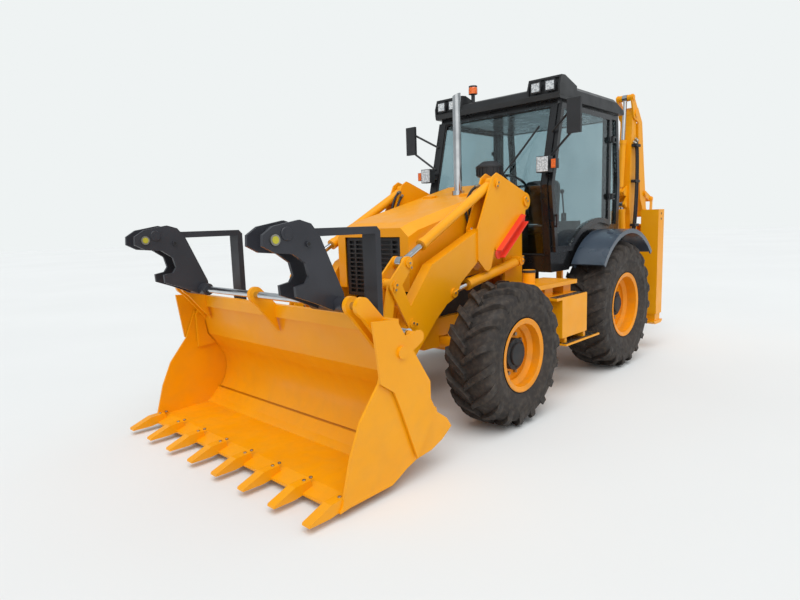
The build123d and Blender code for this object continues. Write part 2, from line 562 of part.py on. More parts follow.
def loader_arm():
    """Both lift arms and the torque tube that joins them, with their bores and the lever pins."""
    y0, y1 = ARM_Y - ARM_W / 2, ARM_Y + ARM_W / 2
    side = side_plate(BEAM_OUTLINE, y0, y1)
    side += across(BUCKET_PIN, ARM_BOSS_R, y0, y1)
    for near, far in ((y0 - BOOMERANG_T, y0), (y1, y1 + BOOMERANG_T)):
        side += side_plate(BOOMERANG_OUTLINE, near, far)
        side += across(ARM_HINGE, ARM_BOSS_R, near, far)
    side += across(ARM_HINGE, ARM_BOSS_R - 12, y0, y1)
    side -= across(ARM_HINGE, ARM_PIN_R + FIT, y0 - 30, y1 + 30)
    side -= across(BUCKET_PIN, ARM_PIN_R + FIT, y0, y1)
    tilt_pin_r = TILT_PIN_R
    side += across(TILT_FOOT, tilt_pin_r, y0 - BOOMERANG_T, y1 + BOOMERANG_T)
    side += across(TILT_FOOT, tilt_pin_r * 1.35, y1 + BOOMERANG_T, y1 + BOOMERANG_T + 12)
    half = RAM_EYE_W / 2 + SIDE
    side -= side_plate(LIFT_SLOT, ARM_Y - half, ARM_Y + half)
    side += across(LIFT_EYE, LIFT_PIN_R * 1.35, y1, y1 + 12)
    reach = y1 + SIDE + LEVER_T + 1
    inner = y0 - SIDE - LEVER_T - 1
    side += across(LEVER_PIN, LEVER_PIN_R, inner, reach)
    side += across(LEVER_PIN, LEVER_PIN_R * 1.35, reach, reach + 8)
    side += across(LEVER_PIN, LEVER_PIN_R * 1.35, inner - 8, inner)
    arm = both(side)
    arm += across(TORQUE_TUBE, TORQUE_TUBE_R, -y0, y0)
    return arm


def safety_strut():
    """Channel that props the raised arm, stowed along the left boomerang plate."""
    y = ARM_Y + ARM_W / 2 + BOOMERANG_T
    channel = strap(STRUT_TOP, STRUT_END, 42, 42, y, y + 8)
    dx, dz = STRUT_END[0] - STRUT_TOP[0], STRUT_END[1] - STRUT_TOP[1]
    length = math.hypot(dx, dz)
    nx, nz = -dz / length, dx / length
    for side in (-1, 1):
        edge = [(STRUT_TOP[0] + side * nx * 42, STRUT_TOP[1] + side * nz * 42),
                (STRUT_END[0] + side * nx * 42, STRUT_END[1] + side * nz * 42),
                (STRUT_END[0] + side * nx * 34, STRUT_END[1] + side * nz * 34),
                (STRUT_TOP[0] + side * nx * 34, STRUT_TOP[1] + side * nz * 34)]
        channel += side_plate(edge, y, y + 55)
    return channel


def tilt_lever():
    """Dog-leg lever of the left arm: two plates from the arm to the tilt ram's eye."""
    y0 = ARM_Y - ARM_W / 2 - SIDE - LEVER_T
    y1 = ARM_Y + ARM_W / 2 + SIDE
    shape = Part()
    for y in (y0, y1):
        shape += strap(LEVER_PIN, LEVER_MID, 48, 58, y, y + LEVER_T)
        shape += strap(LEVER_MID, LEVER_TOP, 58, 48, y, y + LEVER_T)
    eye = RAM_EYE_W / 2 + SIDE
    shape += across(LEVER_TOP, 44, y0 + LEVER_T, ARM_Y - eye)
    shape += across(LEVER_TOP, 44, ARM_Y + eye, y1)
    shape += across(LEVER_TOP, 34, y1 + LEVER_T, y1 + LEVER_T + 12)
    shape += across(LEVER_TOP, 34, y0 - 12, y0)
    brace = along(LEVER_PIN, LEVER_MID, 175)
    shape += across(brace, 20, y0 + LEVER_T, y1)
    shape -= across(LEVER_PIN, LEVER_PIN_R + FIT, y0, y1 + LEVER_T)
    shape -= across(LEVER_MID, LEVER_PIN_R + FIT, y0, y1 + LEVER_T)
    return shape


def bucket_link():
    """Link from the lever's middle pin, which it carries, down to the bucket."""
    y0 = ARM_Y - LINK_HALF_W
    y1 = ARM_Y + LINK_HALF_W
    shape = strap(LEVER_MID, LINK_LOW, 44, 44, y0, y0 + LEVER_T) + strap(LEVER_MID, LINK_LOW, 44, 44, y1 - LEVER_T, y1)
    shape += across(LEVER_MID, 40, y0, y1) + across(LINK_LOW, 44, y0, y1)
    outer = ARM_W / 2 + SIDE + LEVER_T + 1
    shape += across(LEVER_MID, LEVER_PIN_R, ARM_Y - outer, ARM_Y + outer)
    shape += across(LEVER_MID, LEVER_PIN_R * 1.35, ARM_Y + outer, ARM_Y + outer + 8)
    shape += across(LEVER_MID, LEVER_PIN_R * 1.35, ARM_Y - outer - 8, ARM_Y - outer)
    return shape


# ================================================================== loader bucket


def mouldboard():
    """Curved back plate of the bucket with the stiff edge along its top."""
    a, b, c, d = MOULD_FACE
    back = BUCKET_PLATE
    face = [Edge.make_three_point_arc((a[0], 0, a[1]), (b[0], 0, b[1]), (c[0], 0, c[1])),
            Edge.make_line((c[0], 0, c[1]), (d[0], 0, d[1])),
            Edge.make_line((d[0], 0, d[1]), (MOULD_TOP[0], 0, MOULD_TOP[1])),
            Edge.make_line((MOULD_TOP[0], 0, MOULD_TOP[1]), (MOULD_TOP[0] - back, 0, MOULD_TOP[1])),
            Edge.make_line((MOULD_TOP[0] - back, 0, MOULD_TOP[1]), (d[0] - back, 0, d[1] + 6)),
            Edge.make_line((d[0] - back, 0, d[1] + 6), (c[0] - back, 0, c[1] + 8)),
            Edge.make_three_point_arc((c[0] - back, 0, c[1] + 8), (b[0] - back, 0, b[1]), (a[0] - back, 0, a[1] - 4)),
            Edge.make_line((a[0] - back, 0, a[1] - 4), (a[0], 0, a[1]))]
    board = extrude(make_face(face), amount=2 * MOULD_Y, dir=(0, 1, 0)).move(Location((0, -MOULD_Y, 0)))
    return board + block(MOULD_TOP[0] - 30, MOULD_TOP[0] + 14, -BUCKET_HALF_W, BUCKET_HALF_W, MOULD_TOP[1] - 90,
                         MOULD_TOP[1])


def outer_side():
    """Left outer side plate with the ear inside it and the clam's pivot pin between them."""
    side = side_plate(OUTER_PLATE, BUCKET_HALF_W - BUCKET_PLATE, BUCKET_HALF_W)
    side += side_plate(INNER_EAR, MOULD_Y - 22, MOULD_Y)
    side += across(CLAM_PIN, CLAM_PIN_R, MOULD_Y - 22, BUCKET_HALF_W)
    return side + across(CLAM_PIN, CLAM_PIN_R * 1.5, BUCKET_HALF_W, BUCKET_HALF_W + PIN_HEAD)


def clam_ram_ears():
    """Left clam ram's two ears behind the mouldboard, with its foot pin."""
    half = RAM_EYE_W / 2 + SIDE
    ear = Part()
    for near, far in ((CLAM_RAM_Y - half - 16, CLAM_RAM_Y - half), (CLAM_RAM_Y + half, CLAM_RAM_Y + half + 16)):
        ear += side_plate(CLAM_RAM_EAR, near, far)
    return ear + across(CLAM_RAM_FOOT, CLAM_PIN_R, CLAM_RAM_Y - half - 16, CLAM_RAM_Y + half + 16)


def hitch():
    """Left hitch: two plates either side of the arm, with the bucket pin and the link pin's head."""
    inner = ARM_W / 2 + SIDE + 1
    plates = Part()
    for near, far in ((ARM_Y - inner - HITCH_T, ARM_Y - inner), (ARM_Y + inner, ARM_Y + inner + HITCH_T)):
        plates += side_plate(HITCH_OUTLINE, near, far)
    plates += across(BUCKET_PIN, ARM_PIN_R, ARM_Y - inner - HITCH_T, ARM_Y + inner + HITCH_T)
    plates += across(BUCKET_PIN, ARM_PIN_R * 1.4, ARM_Y + inner + HITCH_T, ARM_Y + inner + HITCH_T + 10)
    return plates + across(LINK_LOW, LEVER_PIN_R * 1.35, ARM_Y + inner + HITCH_T, ARM_Y + inner + HITCH_T + 8)


def fork_rail():
    """Rail that the fork carriers turn on, with its brackets on the mouldboard's top edge."""
    shape = across(FORK_RAIL, FORK_RAIL_R, -FORK_RAIL_END, FORK_RAIL_END)
    bracket = strap(FORK_RAIL, (MOULD_TOP[0] + 20, MOULD_TOP[1] - 40), 55, 45, 0, 30)
    bracket += side_plate([(3650, 1055), (3700, 1075), (3780, 1060), (3606, 850)], 0, 30)
    for y in (-FORK_RAIL_END, -FORK_RAIL_END + 90, -15, FORK_RAIL_END - 120, FORK_RAIL_END - 30):
        shape += Pos(0, y, 0) * bracket
    return shape


def bucket_body():
    """Rear jaw: mouldboard, outer side plates, ram ears, hitch plates and the fork rail."""
    return weldment(mouldboard(), both(outer_side()), both(clam_ram_ears()), both(hitch()), fork_rail())


def bucket_clam():
    """Front jaw: side plates that swing inside the outer ones, floor, cutting edge and teeth."""
    plate_y = JAW_Y - BUCKET_PLATE
    side = side_plate(CLAM_PLATE, plate_y, JAW_Y)
    side += across(CLAM_PIN, 84, plate_y, JAW_Y)
    side += strap(CLAM_PIN, CLAM_RAM_EYE, 70, 40, plate_y, JAW_Y)
    side -= across(CLAM_PIN, CLAM_PIN_R + FIT, plate_y, JAW_Y)
    half = RAM_EYE_W / 2 + SIDE
    side += across(CLAM_RAM_EYE, 30, CLAM_RAM_Y + half, plate_y)
    floor = side_plate(CLAM_FLOOR, -JAW_Y, JAW_Y)
    tooth = side_plate([(TOOTH_TIP_X, 42), (TOOTH_TIP_X - 4, 56), (4120, 112), (4010, 118), (4000, 70), (4060, 50),
                        (4130, 40)], -TOOTH_W / 2, TOOTH_W / 2)
    pitch = 2 * (JAW_Y - 45) / (TEETH - 1)
    for number in range(TEETH):
        floor += Pos(0, -(JAW_Y - 45) + number * pitch, 0) * tooth
    return weldment(both(side), floor)


def fork_carrier():
    """Left fork carrier: two plates and the sleeve that turns on the rail, with the tine's pin."""
    outline = [(3735, 1120), (3742, 1190), (3900, 1535), (3955, 1600), (4030, 1622), (4200, 1592), (4268, 1548),
               (4272, 1490), (4200, 1452), (4085, 1440), (4005, 1385), (3985, 1310), (4010, 1275), (4082, 1262),
               (4078, 1205), (3960, 1160), (3825, 1100)]
    half = TINE_W / 2 + RUN / 2
    shape = Part()
    for side in (-1, 1):
        near, far = sorted((FORK_Y + side * half, FORK_Y + side * (half + CARRIER_T)))
        shape += side_plate(outline, near, far)
    shape += across(FORK_RAIL, 46, FORK_Y - 150, FORK_Y + 150)
    shape += across(LOCK_HOLE, 16, FORK_Y - half - CARRIER_T - 12, FORK_Y + half + CARRIER_T + 12)
    shape += block(3800, 3880, FORK_Y - half, FORK_Y + half, 1200, 1225)
    shape += across(FORK_HEAD, FORK_PIN_R, FORK_Y - half - CARRIER_T - 8, FORK_Y + half + CARRIER_T + 8)
    shape -= across(FORK_RAIL, FORK_RAIL_R + FIT, FORK_Y - 160, FORK_Y + 160)
    return shape


def fork_tine():
    """Left tine, folded back: shank over the carrier and the blade hanging behind the bucket."""
    y0, y1 = FORK_Y - TINE_W / 2, FORK_Y + TINE_W / 2
    back = TINE_BLADE_X - TINE_T
    top = FORK_HEAD[1] + TINE_T / 2
    outline = [(FORK_HEAD[0], top), (back + 30, top), (back, top - 30), (back, TINE_TIP_Z + 60),
               (back + 30, TINE_TIP_Z), (TINE_BLADE_X, TINE_TIP_Z), (TINE_BLADE_X, top - TINE_T),
               (FORK_HEAD[0], top - TINE_T)]
    shape = side_plate(outline, y0, y1)
    shape += across(FORK_HEAD, 42, y0, y1)
    shape -= across(FORK_HEAD, FORK_PIN_R + FIT, y0, y1)
    return shape


# ================================================================== bonnet, grille, engine


def hood(sections, inset, front, rear):
    """Ruled skin through the sections; inset shrinks it, front and rear lengthen its ends."""
    faces = []
    for number, (x, half, low, shoulder, top, top_half) in enumerate(sections):
        if number == 0:
            x -= rear
        if number == len(sections) - 1:
            x += front
        bottom = low if inset == 0 else low - 50
        points = [(x, -half + inset, bottom), (x, -half + inset, shoulder - inset / 2),
                  (x, -top_half + inset / 2, top - inset), (x, top_half - inset / 2, top - inset),
                  (x, half - inset, shoulder - inset / 2), (x, half - inset, bottom)]
        faces.append(make_face(Polyline(*points, close=True)))
    return loft(faces, ruled=True)


def cowl():
    """Fixed rear cowl between the cab and the bonnet."""
    sections = BONNET_SECTIONS[:2]
    shape = hood(sections, 0, 0, 0) - hood(sections, BONNET_T, 10, -BONNET_T)
    shape += both(block(1180, 1400, BONNET_SECTIONS[0][1] - BONNET_T, TOWER_Y - FIT, 1300, 1400))
    return shape


def bonnet():
    """Tilting bonnet: top, sides and the front frame round the grille."""
    front_x = BONNET_SECTIONS[-1][0]
    start = BONNET_SPLIT_X + RUN
    sections = BONNET_SECTIONS[1:]
    shape = hood(sections, 0, 0, 0) - hood(sections, BONNET_T, -BONNET_T, 10)
    shape -= block(BONNET_SPLIT_X - 20, start, -600, 600, 900, 2100)
    shape -= block(front_x - 60, front_x + 10, -GRILLE_HALF_W, GRILLE_HALF_W, 900, GRILLE_TOP)
    hx, hz = BONNET_HINGE
    knuckle_tube = across((hx, hz), 9, -60, 60) + block(hx, hx + 40, -60, 60, hz - 22, hz - 6)
    knuckle_tube -= across((hx, hz), 4 + FIT, -60, 60)
    return shape + Pos(0, 220, 0) * knuckle_tube + Pos(0, -220, 0) * knuckle_tube


def bonnet_hinge_pins():
    """Hinge pins of the bonnet and the lugs that hold them on the cowl."""
    hx, hz = BONNET_HINGE
    lug = across((hx, hz), 9, 61, 75) + block(hx - 40, hx, 61, 75, hz - 24, hz)
    pin = lug + mirrored(lug) + across((hx, hz), 4, -62, 62)
    return Pos(0, 220, 0) * pin + Pos(0, -220, 0) * pin


def radiator_grille():
    """Radiator on the nose and the grille panel in front of it."""
    shape = block(2345, 2470, -290, 290, NOSE_Z1, 1430)
    shape += block(2470, GRILLE_X, -300, 300, 990, 1440)
    shape += block(GRILLE_X, GRILLE_X + 40, -GRILLE_HALF_W + RUN, GRILLE_HALF_W - RUN, 985, GRILLE_TOP - RUN)
    pitch = (GRILLE_TOP - RUN - 985 - 40) / GRILLE_SLOTS
    for column in GRILLE_COLUMNS:
        for number in range(GRILLE_SLOTS):
            low = 985 + 28 + number * pitch
            shape -= block(GRILLE_X + 15, GRILLE_X + 40, column[0], column[1], low, low + pitch - 12)
    return shape


def engine_block():
    """Engine and gearbox as one plain block between the rails."""
    y = RAIL_Y - RAIL_W / 2
    return block(1545, 2300, -y, y, 720, 1400)


def exhaust_stack():
    """Exhaust pipe on the cowl, cut at a slant, with its foot flange."""
    x, y, radius, top = EXHAUST
    base = hood_top(x)
    pipe = Pos(x, y, (base + top) / 2) * Cylinder(radius, top - base) \
        - Pos(x, y, (base + top) / 2) * Cylinder(radius - 5, top - base)
    pipe -= Pos(x, y, top + 60) * Box(200, 200, 200).rotate(Axis.Y, 32)
    foot = Pos(x, y, base + 8) * Cylinder(radius + 22, 40) - Pos(x, y, base + 8) * Cylinder(radius - 5, 40)
    return pipe + foot - hood(BONNET_SECTIONS[:2], 0, 0, 0)


def precleaner():
    """Air pre-cleaner: neck, bowl and domed cap."""
    x, y = PRECLEANER
    base = hood_top(x)
    profile = [(0, base - 20), (45, base - 20), (45, 1975), (112, 1990), (118, 2040), (118, 2068), (128, 2072),
               (128, 2084), (60, 2128), (0, 2132)]
    shape = revolve(make_face(Polyline(*[(r, 0, z) for r, z in profile], close=True)), Axis.Z)
    return Pos(x, y, 0) * shape - hood(BONNET_SECTIONS[:2], 0, 0, 0)


def hood_top(x):
    """Height of the cowl's top at a place along the machine."""
    (x0, _, _, _, z0, _), (x1, _, _, _, z1, _) = BONNET_SECTIONS[:2]
    return z0 + (z1 - z0) * (x - x0) / (x1 - x0)


# ================================================================== cab


def cab_body(inset):
    """The cab's closed form with the recesses for the rear wheels, shrunk on every side."""
    face = offset(make_face(Polyline(*[(x, 0, z) for x, z in CAB_OUTLINE], close=True)), -inset,
                  kind=Kind.INTERSECTION)
    half = CAB_HALF_W - inset
    arch = across((0, REAR_TYRE_R), CAB_ARCH_R + inset, CAB_ARCH_Y - inset, CAB_HALF_W + 10)
    return extrude(face, amount=half, dir=(0, 1, 0)) + extrude(face, amount=half, dir=(0, -1, 0)) - both(arch)


def cab_windows():
    """What the fixed windows cut: windscreen, rear window and quarter windows."""
    windscreen = block(700, 1200, -CAB_HALF_W + 60, CAB_HALF_W - 60, 1230, 2635)
    rear = block(-700, -440, -CAB_HALF_W + 65, CAB_HALF_W - 65, 1500, 2635)
    quarter = side_plate(QUARTER_WINDOW, CAB_HALF_W - 60, CAB_HALF_W + 10)
    return windscreen, rear, both(quarter)


def door_face(inset):
    """Outline of the door's panel or of its window, in the side view."""
    arch = Pos(0, 0, REAR_TYRE_R) * Cylinder(DOOR_ARCH_R + inset, 200, rotation=(90, 0, 0))
    plate = offset(make_face(Polyline(*[(x, 0, z) for x, z in DOOR_OUTLINE], close=True)), -inset,
                   kind=Kind.INTERSECTION)
    return plate, arch


def door_plate(inset, y0, y1):
    """The door's outline as a plate between two y places, shrunk by an inset."""
    plate, arch = door_face(inset)
    solid = extrude(plate, amount=y1 - y0, dir=(0, 1, 0)).move(Location((0, y0, 0)))
    return solid - Pos(0, (y0 + y1) / 2, 0) * arch


def cab_frame():
    """Hollow cab with its windows and door openings cut, and the door hinges' brackets and pins."""
    shell = cab_body(0) - cab_body(CAB_WALL)
    for window in cab_windows():
        shell -= window
    shell -= both(door_plate(30, CAB_HALF_W - 60, CAB_HALF_W + 10))
    hx, hy = DOOR_HINGE
    for z in DOOR_HINGE_Z:
        for z0 in (z - 13, z + 41):
            leaf = block(hx - 50, hx, hy - 13, hy + 13, z0, z0 + 12)
            leaf += block(hx - 50, hx - 22, CAB_HALF_W, hy + 13, z0, z0 + 12)
            leaf += Pos(hx, hy, z0 + 6) * Cylinder(13, 12)
            shell += both(leaf)
        shell += both(Pos(hx, hy, z + 20) * Cylinder(8, 46))
    shell += both(block(-450, -350, RAIL_Y, RAIL_Y + RAIL_W / 2, RAIL_Z1, CAB_OUTLINE[0][1]))
    shell += both(block(600, 700, RAIL_Y - 30, RAIL_Y + RAIL_W / 2, RAIL_Z1, CAB_OUTLINE[0][1]))
    return shell


def cab_glass():
    """Fixed panes in the cab's openings."""
    layer = cab_body(GLASS_INSET) - cab_body(GLASS_INSET + GLASS_T)
    panes = Part()
    for window in cab_windows():
        panes += layer & window
    return panes


def cab_door():
    """Left door: frame with its window cut and hinge knuckles."""
    y0 = CAB_HALF_W + RUN
    frame = door_plate(0, y0, y0 + DOOR_T) - door_plate(DOOR_RIM, y0 - 1, y0 + DOOR_T + 1)
    hx, hy = DOOR_HINGE
    for z in DOOR_HINGE_Z:
        leaf = Pos(hx, hy, z + 20) * Cylinder(14, 40) + block(hx, hx + 60, hy - 26, hy - 4, z, z + 40)
        leaf -= Pos(hx, hy, z + 20) * Cylinder(8 + FIT, 40)
        frame += leaf
    handle = block(942, 976, y0 + DOOR_T, y0 + DOOR_T + 28, 1500, 1620)
    return frame + (handle - block(940, 980, y0 + DOOR_T, y0 + DOOR_T + 16, 1518, 1602))


def door_glass():
    """Left door's pane, held in the middle of the frame's thickness."""
    y = CAB_HALF_W + RUN + DOOR_T / 2
    return door_plate(DOOR_RIM, y - GLASS_T / 2, y + GLASS_T / 2)


def cab_roof():
    """Roof shell with its rounded rim, the raised lamp pods at the front corners and the rear slope."""
    profile = [(895, 2695), (905, 2740), (880, 2800), (760, 2838), (-380, 2838), (-520, 2790), (-575, 2700),
               (-560, 2690), (880, 2690)]
    roof = side_plate(profile, -CAB_HALF_W - 45, CAB_HALF_W + 45)
    top_edges = roof.edges().filter_by(lambda e: abs(abs(e.center().Y) - CAB_HALF_W - 45) < 1 and e.center().Z > 2790)
    roof = chamfer(top_edges, 40)
    pod = side_plate([(900, 2725), (905, 2800), (868, 2902), (800, 2908), (560, 2838), (560, 2725)],
                     POD_Y - POD_HALF_W, POD_Y + POD_HALF_W)
    recess = side_plate([(880, 2748), (930, 2748), (930, 2888), (858, 2880)], POD_Y - POD_HALF_W + 18,
                        POD_Y + POD_HALF_W - 18)
    return roof + both(pod) - both(recess)


def fenders():
    """Rear fenders: arched sheet with an outer lip and an inner web against the cab."""
    def sector(outer, inner, y0, y1, start, end):
        ring = across((0, REAR_TYRE_R), outer, y0, y1) - across((0, REAR_TYRE_R), inner, y0, y1)
        far = 2000
        wedge = [(0, REAR_TYRE_R)]
        for step in range(4):
            angle = math.radians(start + (end - start) * step / 3)
            wedge.append((far * math.cos(angle), REAR_TYRE_R + far * math.sin(angle)))
        return ring & side_plate(wedge, y0, y1)
    sheet = sector(FENDER_R, FENDER_R - FENDER_T, FENDER_Y0, FENDER_Y1, *FENDER_ARC)
    sheet += sector(FENDER_R, FENDER_R - 45, FENDER_Y1 - FENDER_T, FENDER_Y1, *FENDER_ARC)
    sheet += sector(FENDER_R, FENDER_R - 90, FENDER_Y0, FENDER_Y0 + FENDER_T, *FENDER_ARC)
    top = REAR_TYRE_R + FENDER_R
    sheet += block(-120, 120, CAB_HALF_W, FENDER_Y0, top - 65, top - 15)
    return both(sheet)


def seat_base():
    """Seat pedestal, consoles, steering column with its wheel, and the lever stands at the rear."""
    floor = CAB_OUTLINE[0][1] + CAB_WALL
    shape = block(-60, 330, -190, 190, floor, floor + 240)
    shape += block(-100, 350, -230, 230, floor + 240, floor + 290)
    shape += both(block(-120, 420, 300, 460, floor, floor + 430))
    shape += block(640, 860, -260, 260, floor, floor + 640)
    column = bar((720, 0, floor + 600), (546, 0, floor + 807), 26)
    wheel_ring = Pos(545, 0, floor + 808) * Torus(185, 13).rotate(Axis.Y, -40)
    spokes = Pos(545, 0, floor + 808) * Box(360, 24, 10).rotate(Axis.Y, -40)
    spokes += Pos(545, 0, floor + 808) * Box(24, 360, 10).rotate(Axis.Y, -40)
    shape += column + wheel_ring + spokes
    for y in (-150, 150):
        shape += bar((-330, y, floor), (-330, y, floor + 520), 30)
        shape += bar((-330, y, floor + 520), (-290, y, floor + 760), 9)
        shape += Pos(-288, y, floor + 770) * Sphere(26)
    return shape


def seat_cushions():
    """Seat cushion and backrest."""
    floor = CAB_OUTLINE[0][1] + CAB_WALL
    cushion = block(-90, 370, -240, 240, floor + 290.3, floor + 400)
    backrest = side_plate([(-95, floor + 400.3), (-10, floor + 400.3), (-60, floor + 900), (-150, floor + 900)],
                          -225, 225)
    return cushion + backrest


def side_steps():
    """Tanks, decks and steps on both sides, carried by brackets on the rails."""
    outer = RAIL_Y + RAIL_W / 2
    shape = block(930, 1400, 620, 1050, 540, 880)
    shape += block(930, 1690, 600, 950, 980, 1016)
    shape += block(930, 1500, 600, 1050, 880, 900)
    shape += block(960, 1100, 600, 900, 900, 980) + block(1300, 1440, 600, 900, 900, 980)
    shape += Pos(1435, 740, 1076) * Cylinder(55, 120)
    shape += side_plate([(720, 470), (1380, 470), (1380, 486), (720, 486)], 800, 1080)
    shape += block(940, 980, 840, 1040, 486, 540) + block(1300, 1340, 840, 1040, 486, 540)
    shape += block(960, 1030, outer, 620, 620, 720) + block(1300, 1370, TOWER_Y + TOWER_T, 620, 620, 720)
    return both(shape)


def mirrors():
    """Door mirrors on their arms, on the front pillars."""
    middle = CAB_HALF_W + 260
    head = block(1042, 1072, middle - 55, middle + 75, 2330, 2630)
    arm = bar((985, CAB_HALF_W - 10, 2150), (1050, middle, 2360), 11)
    arm += bar((925, CAB_HALF_W - 10, 2390), (1050, middle, 2560), 11)
    return both(head + arm) - cab_body(0)


def lamps():
    """Headlamps and indicators on the front pillars, work lamps in the roof pods and the beacon."""
    shape = both(block(1060, 1140, 640, 765, 2005, 2150) + block(1068, 1120, 778, 830, 2035, 2120)
                 + block(1000, 1070, 650, 690, 2040, 2080) + block(1080, 1100, 760, 780, 2060, 2090))
    shape -= cab_body(0)
    for y in (POD_Y - 75, POD_Y + 75):
        lamp = Pos(893, y, 2815) * Cylinder(52, 30, rotation=(0, 90, 0))
        shape += both(lamp)
    beacon = Pos(740, -350, 2881.2) * Cylinder(20, 86) + Pos(740, -350, 2965) * Cylinder(45, 85)
    return shape + beacon


# ================================================================== backhoe, drawn about its own middle plane
def carriage():
    """Side-shift carriage hooked over the upper rail, with the kingpost's two lugs and its pin."""
    back, half, high = SLIDE_X0 - RUN, CARRIAGE_HALF_W, SLIDE_TOP[1]
    shape = block(back - CARRIAGE_T, back, -half, half, SLIDE_LOW[0] - 30, high + 30)
    shape += block(back, SLIDE_X1 + 24, -half, half, high + FIT, high + 30)
    shape += block(SLIDE_X1 + RUN, SLIDE_X1 + 24, -half, half, high - 25, high + 30)
    shape += block(back, SLIDE_X1, -half, half, SLIDE_LOW[0] - 30, SLIDE_LOW[0] - RUN)
    for z0, z1 in LUG_Z:
        shape += block(SLEW_X, back - CARRIAGE_T, -LUG_R, LUG_R, z0, z1)
        shape += Pos(SLEW_X, 0, (z0 + z1) / 2) * Cylinder(LUG_R, z1 - z0)
    z0, z1 = LUG_Z[0][0] - 10, LUG_Z[1][1] + 6
    return shape + Pos(SLEW_X, 0, (z0 + z1) / 2) * Cylinder(SLEW_PIN_R, z1 - z0)


def kingpost():
    """Kingpost: tube between the lugs, rear plate, cheeks for the boom's foot, shelf and ears of the boom ram."""
    z0, z1 = LUG_Z[0][1] + SIDE, LUG_Z[1][0] - SIDE
    web_x, outer = SLEW_X - LUG_R - 10, CHEEK_Y + CHEEK_T
    shelf = LUG_Z[1][1] + 12
    shape = Pos(SLEW_X, 0, (z0 + z1) / 2) * Cylinder(LUG_R + 4, z1 - z0)
    shape += block(web_x - 5, SLEW_X, -60, 60, z0, z1)
    shape -= Pos(SLEW_X, 0, (z0 + z1) / 2) * Cylinder(SLEW_PIN_R + FIT, z1 - z0)
    shape += block(web_x - 20, web_x, -outer, outer, z0, shelf + 15)
    shape += block(web_x - 20, SLEW_X + 48, -outer, outer, shelf, shelf + 15)
    fx, fz = BOOM_FOOT
    cheek = side_plate([(web_x, z0 + 20), (web_x, shelf), (web_x - 20, shelf), (fx - 20, fz + 76), (fx - 60, fz - 50),
                        (fx + 10, fz - 79)], CHEEK_Y, outer)
    cheek += across(BOOM_FOOT, 80, CHEEK_Y, outer) + across(BOOM_FOOT, BOOM_PIN_R * 1.35, outer, outer + 12)
    near = RAM_EYE_W / 2 + SIDE
    x, z = BOOM_RAM_FOOT
    cheek += across(BOOM_RAM_FOOT, 44, near, near + 18) + block(x - 44, x + 44, near, near + 18, shelf, z)
    cheek += across(BOOM_RAM_FOOT, HOE_PIN_R * 1.35, near + 18, near + 30)
    shape += both(cheek)
    return shape + across(BOOM_FOOT, BOOM_PIN_R, -CHEEK_Y, CHEEK_Y) + across(BOOM_RAM_FOOT, HOE_PIN_R, -near, near)


def boom():
    """Boom, upright: box with its foot and head bores and the ears of both rams on its front."""
    half = BOOM_W / 2
    shape = side_plate(BOOM_OUTLINE, -half, half)
    shape += across(BOOM_FOOT, 70, -half, half) + across(BOOM_TOP, 75, -half, half)
    shape -= across(BOOM_FOOT, BOOM_PIN_R + FIT, -half, half)
    shape -= across(BOOM_TOP, BOOM_PIN_R + FIT, -half, half)
    shape += ears(BOOM_RAM_EYE, 0, 18, BOOM_RAM_EAR, HOE_PIN_R, pin=False)
    return shape + ears(DIPPER_RAM_FOOT, 0, 18, DIPPER_RAM_EAR, HOE_PIN_R)


def dipper():
    """Dipper, folded down behind the boom: head plates with the tail for its ram, box and nose."""
    inner = BOOM_W / 2 + SIDE
    plate = side_plate(DIPPER_HEAD, inner, DIPPER_HALF_W)
    plate += strap(BOOM_TOP, DIPPER_TAIL, 80, 42, inner, DIPPER_HALF_W)
    plate += across(DIPPER_TAIL, 38, RAM_EYE_W / 2 + SIDE, inner)
    plate += across(DIPPER_TAIL, HOE_PIN_R * 1.35, DIPPER_HALF_W, DIPPER_HALF_W + 12)
    plate += across(BOOM_TOP, BOOM_PIN_R * 1.35, DIPPER_HALF_W, DIPPER_HALF_W + 12)
    shape = side_plate(DIPPER_OUTLINE, -DIPPER_HALF_W, DIPPER_HALF_W) + both(plate)
    shape += across(BOOM_TOP, BOOM_PIN_R, -DIPPER_HALF_W, DIPPER_HALF_W)
    shape += across(DIPPER_TIP, 55, -DIPPER_HALF_W, DIPPER_HALF_W)
    shape -= across(DIPPER_TIP, HOE_PIN_R + FIT, -DIPPER_HALF_W, DIPPER_HALF_W)
    outer = IDLER_Y + IDLER_T + 1
    shape += across(HOE_IDLER, SMALL_PIN_R, -outer, outer)
    shape += both(across(HOE_IDLER, SMALL_PIN_R * 1.35, outer, outer + 8))
    return shape + ears(HOE_RAM_FOOT, 0, 16, HOE_RAM_EAR, SMALL_PIN_R)


def hoe_idler():
    """Idler plates outside the dipper, with the bosses beside the ram's eye and the links' stub pins."""
    plate = strap(HOE_IDLER, HOE_RAM_EYE, 34, 34, IDLER_Y, IDLER_Y + IDLER_T)
    plate -= across(HOE_IDLER, SMALL_PIN_R + FIT, IDLER_Y, IDLER_Y + IDLER_T)
    plate += across(HOE_RAM_EYE, 34, RAM_EYE_W / 2 + SIDE, IDLER_Y)
    plate += across(HOE_RAM_EYE, SMALL_PIN_R, IDLER_Y + IDLER_T, LINK_Y + IDLER_T + 1)
    plate += across(HOE_RAM_EYE, SMALL_PIN_R * 1.35, LINK_Y + IDLER_T + 1, LINK_Y + IDLER_T + 9)
    return both(plate)


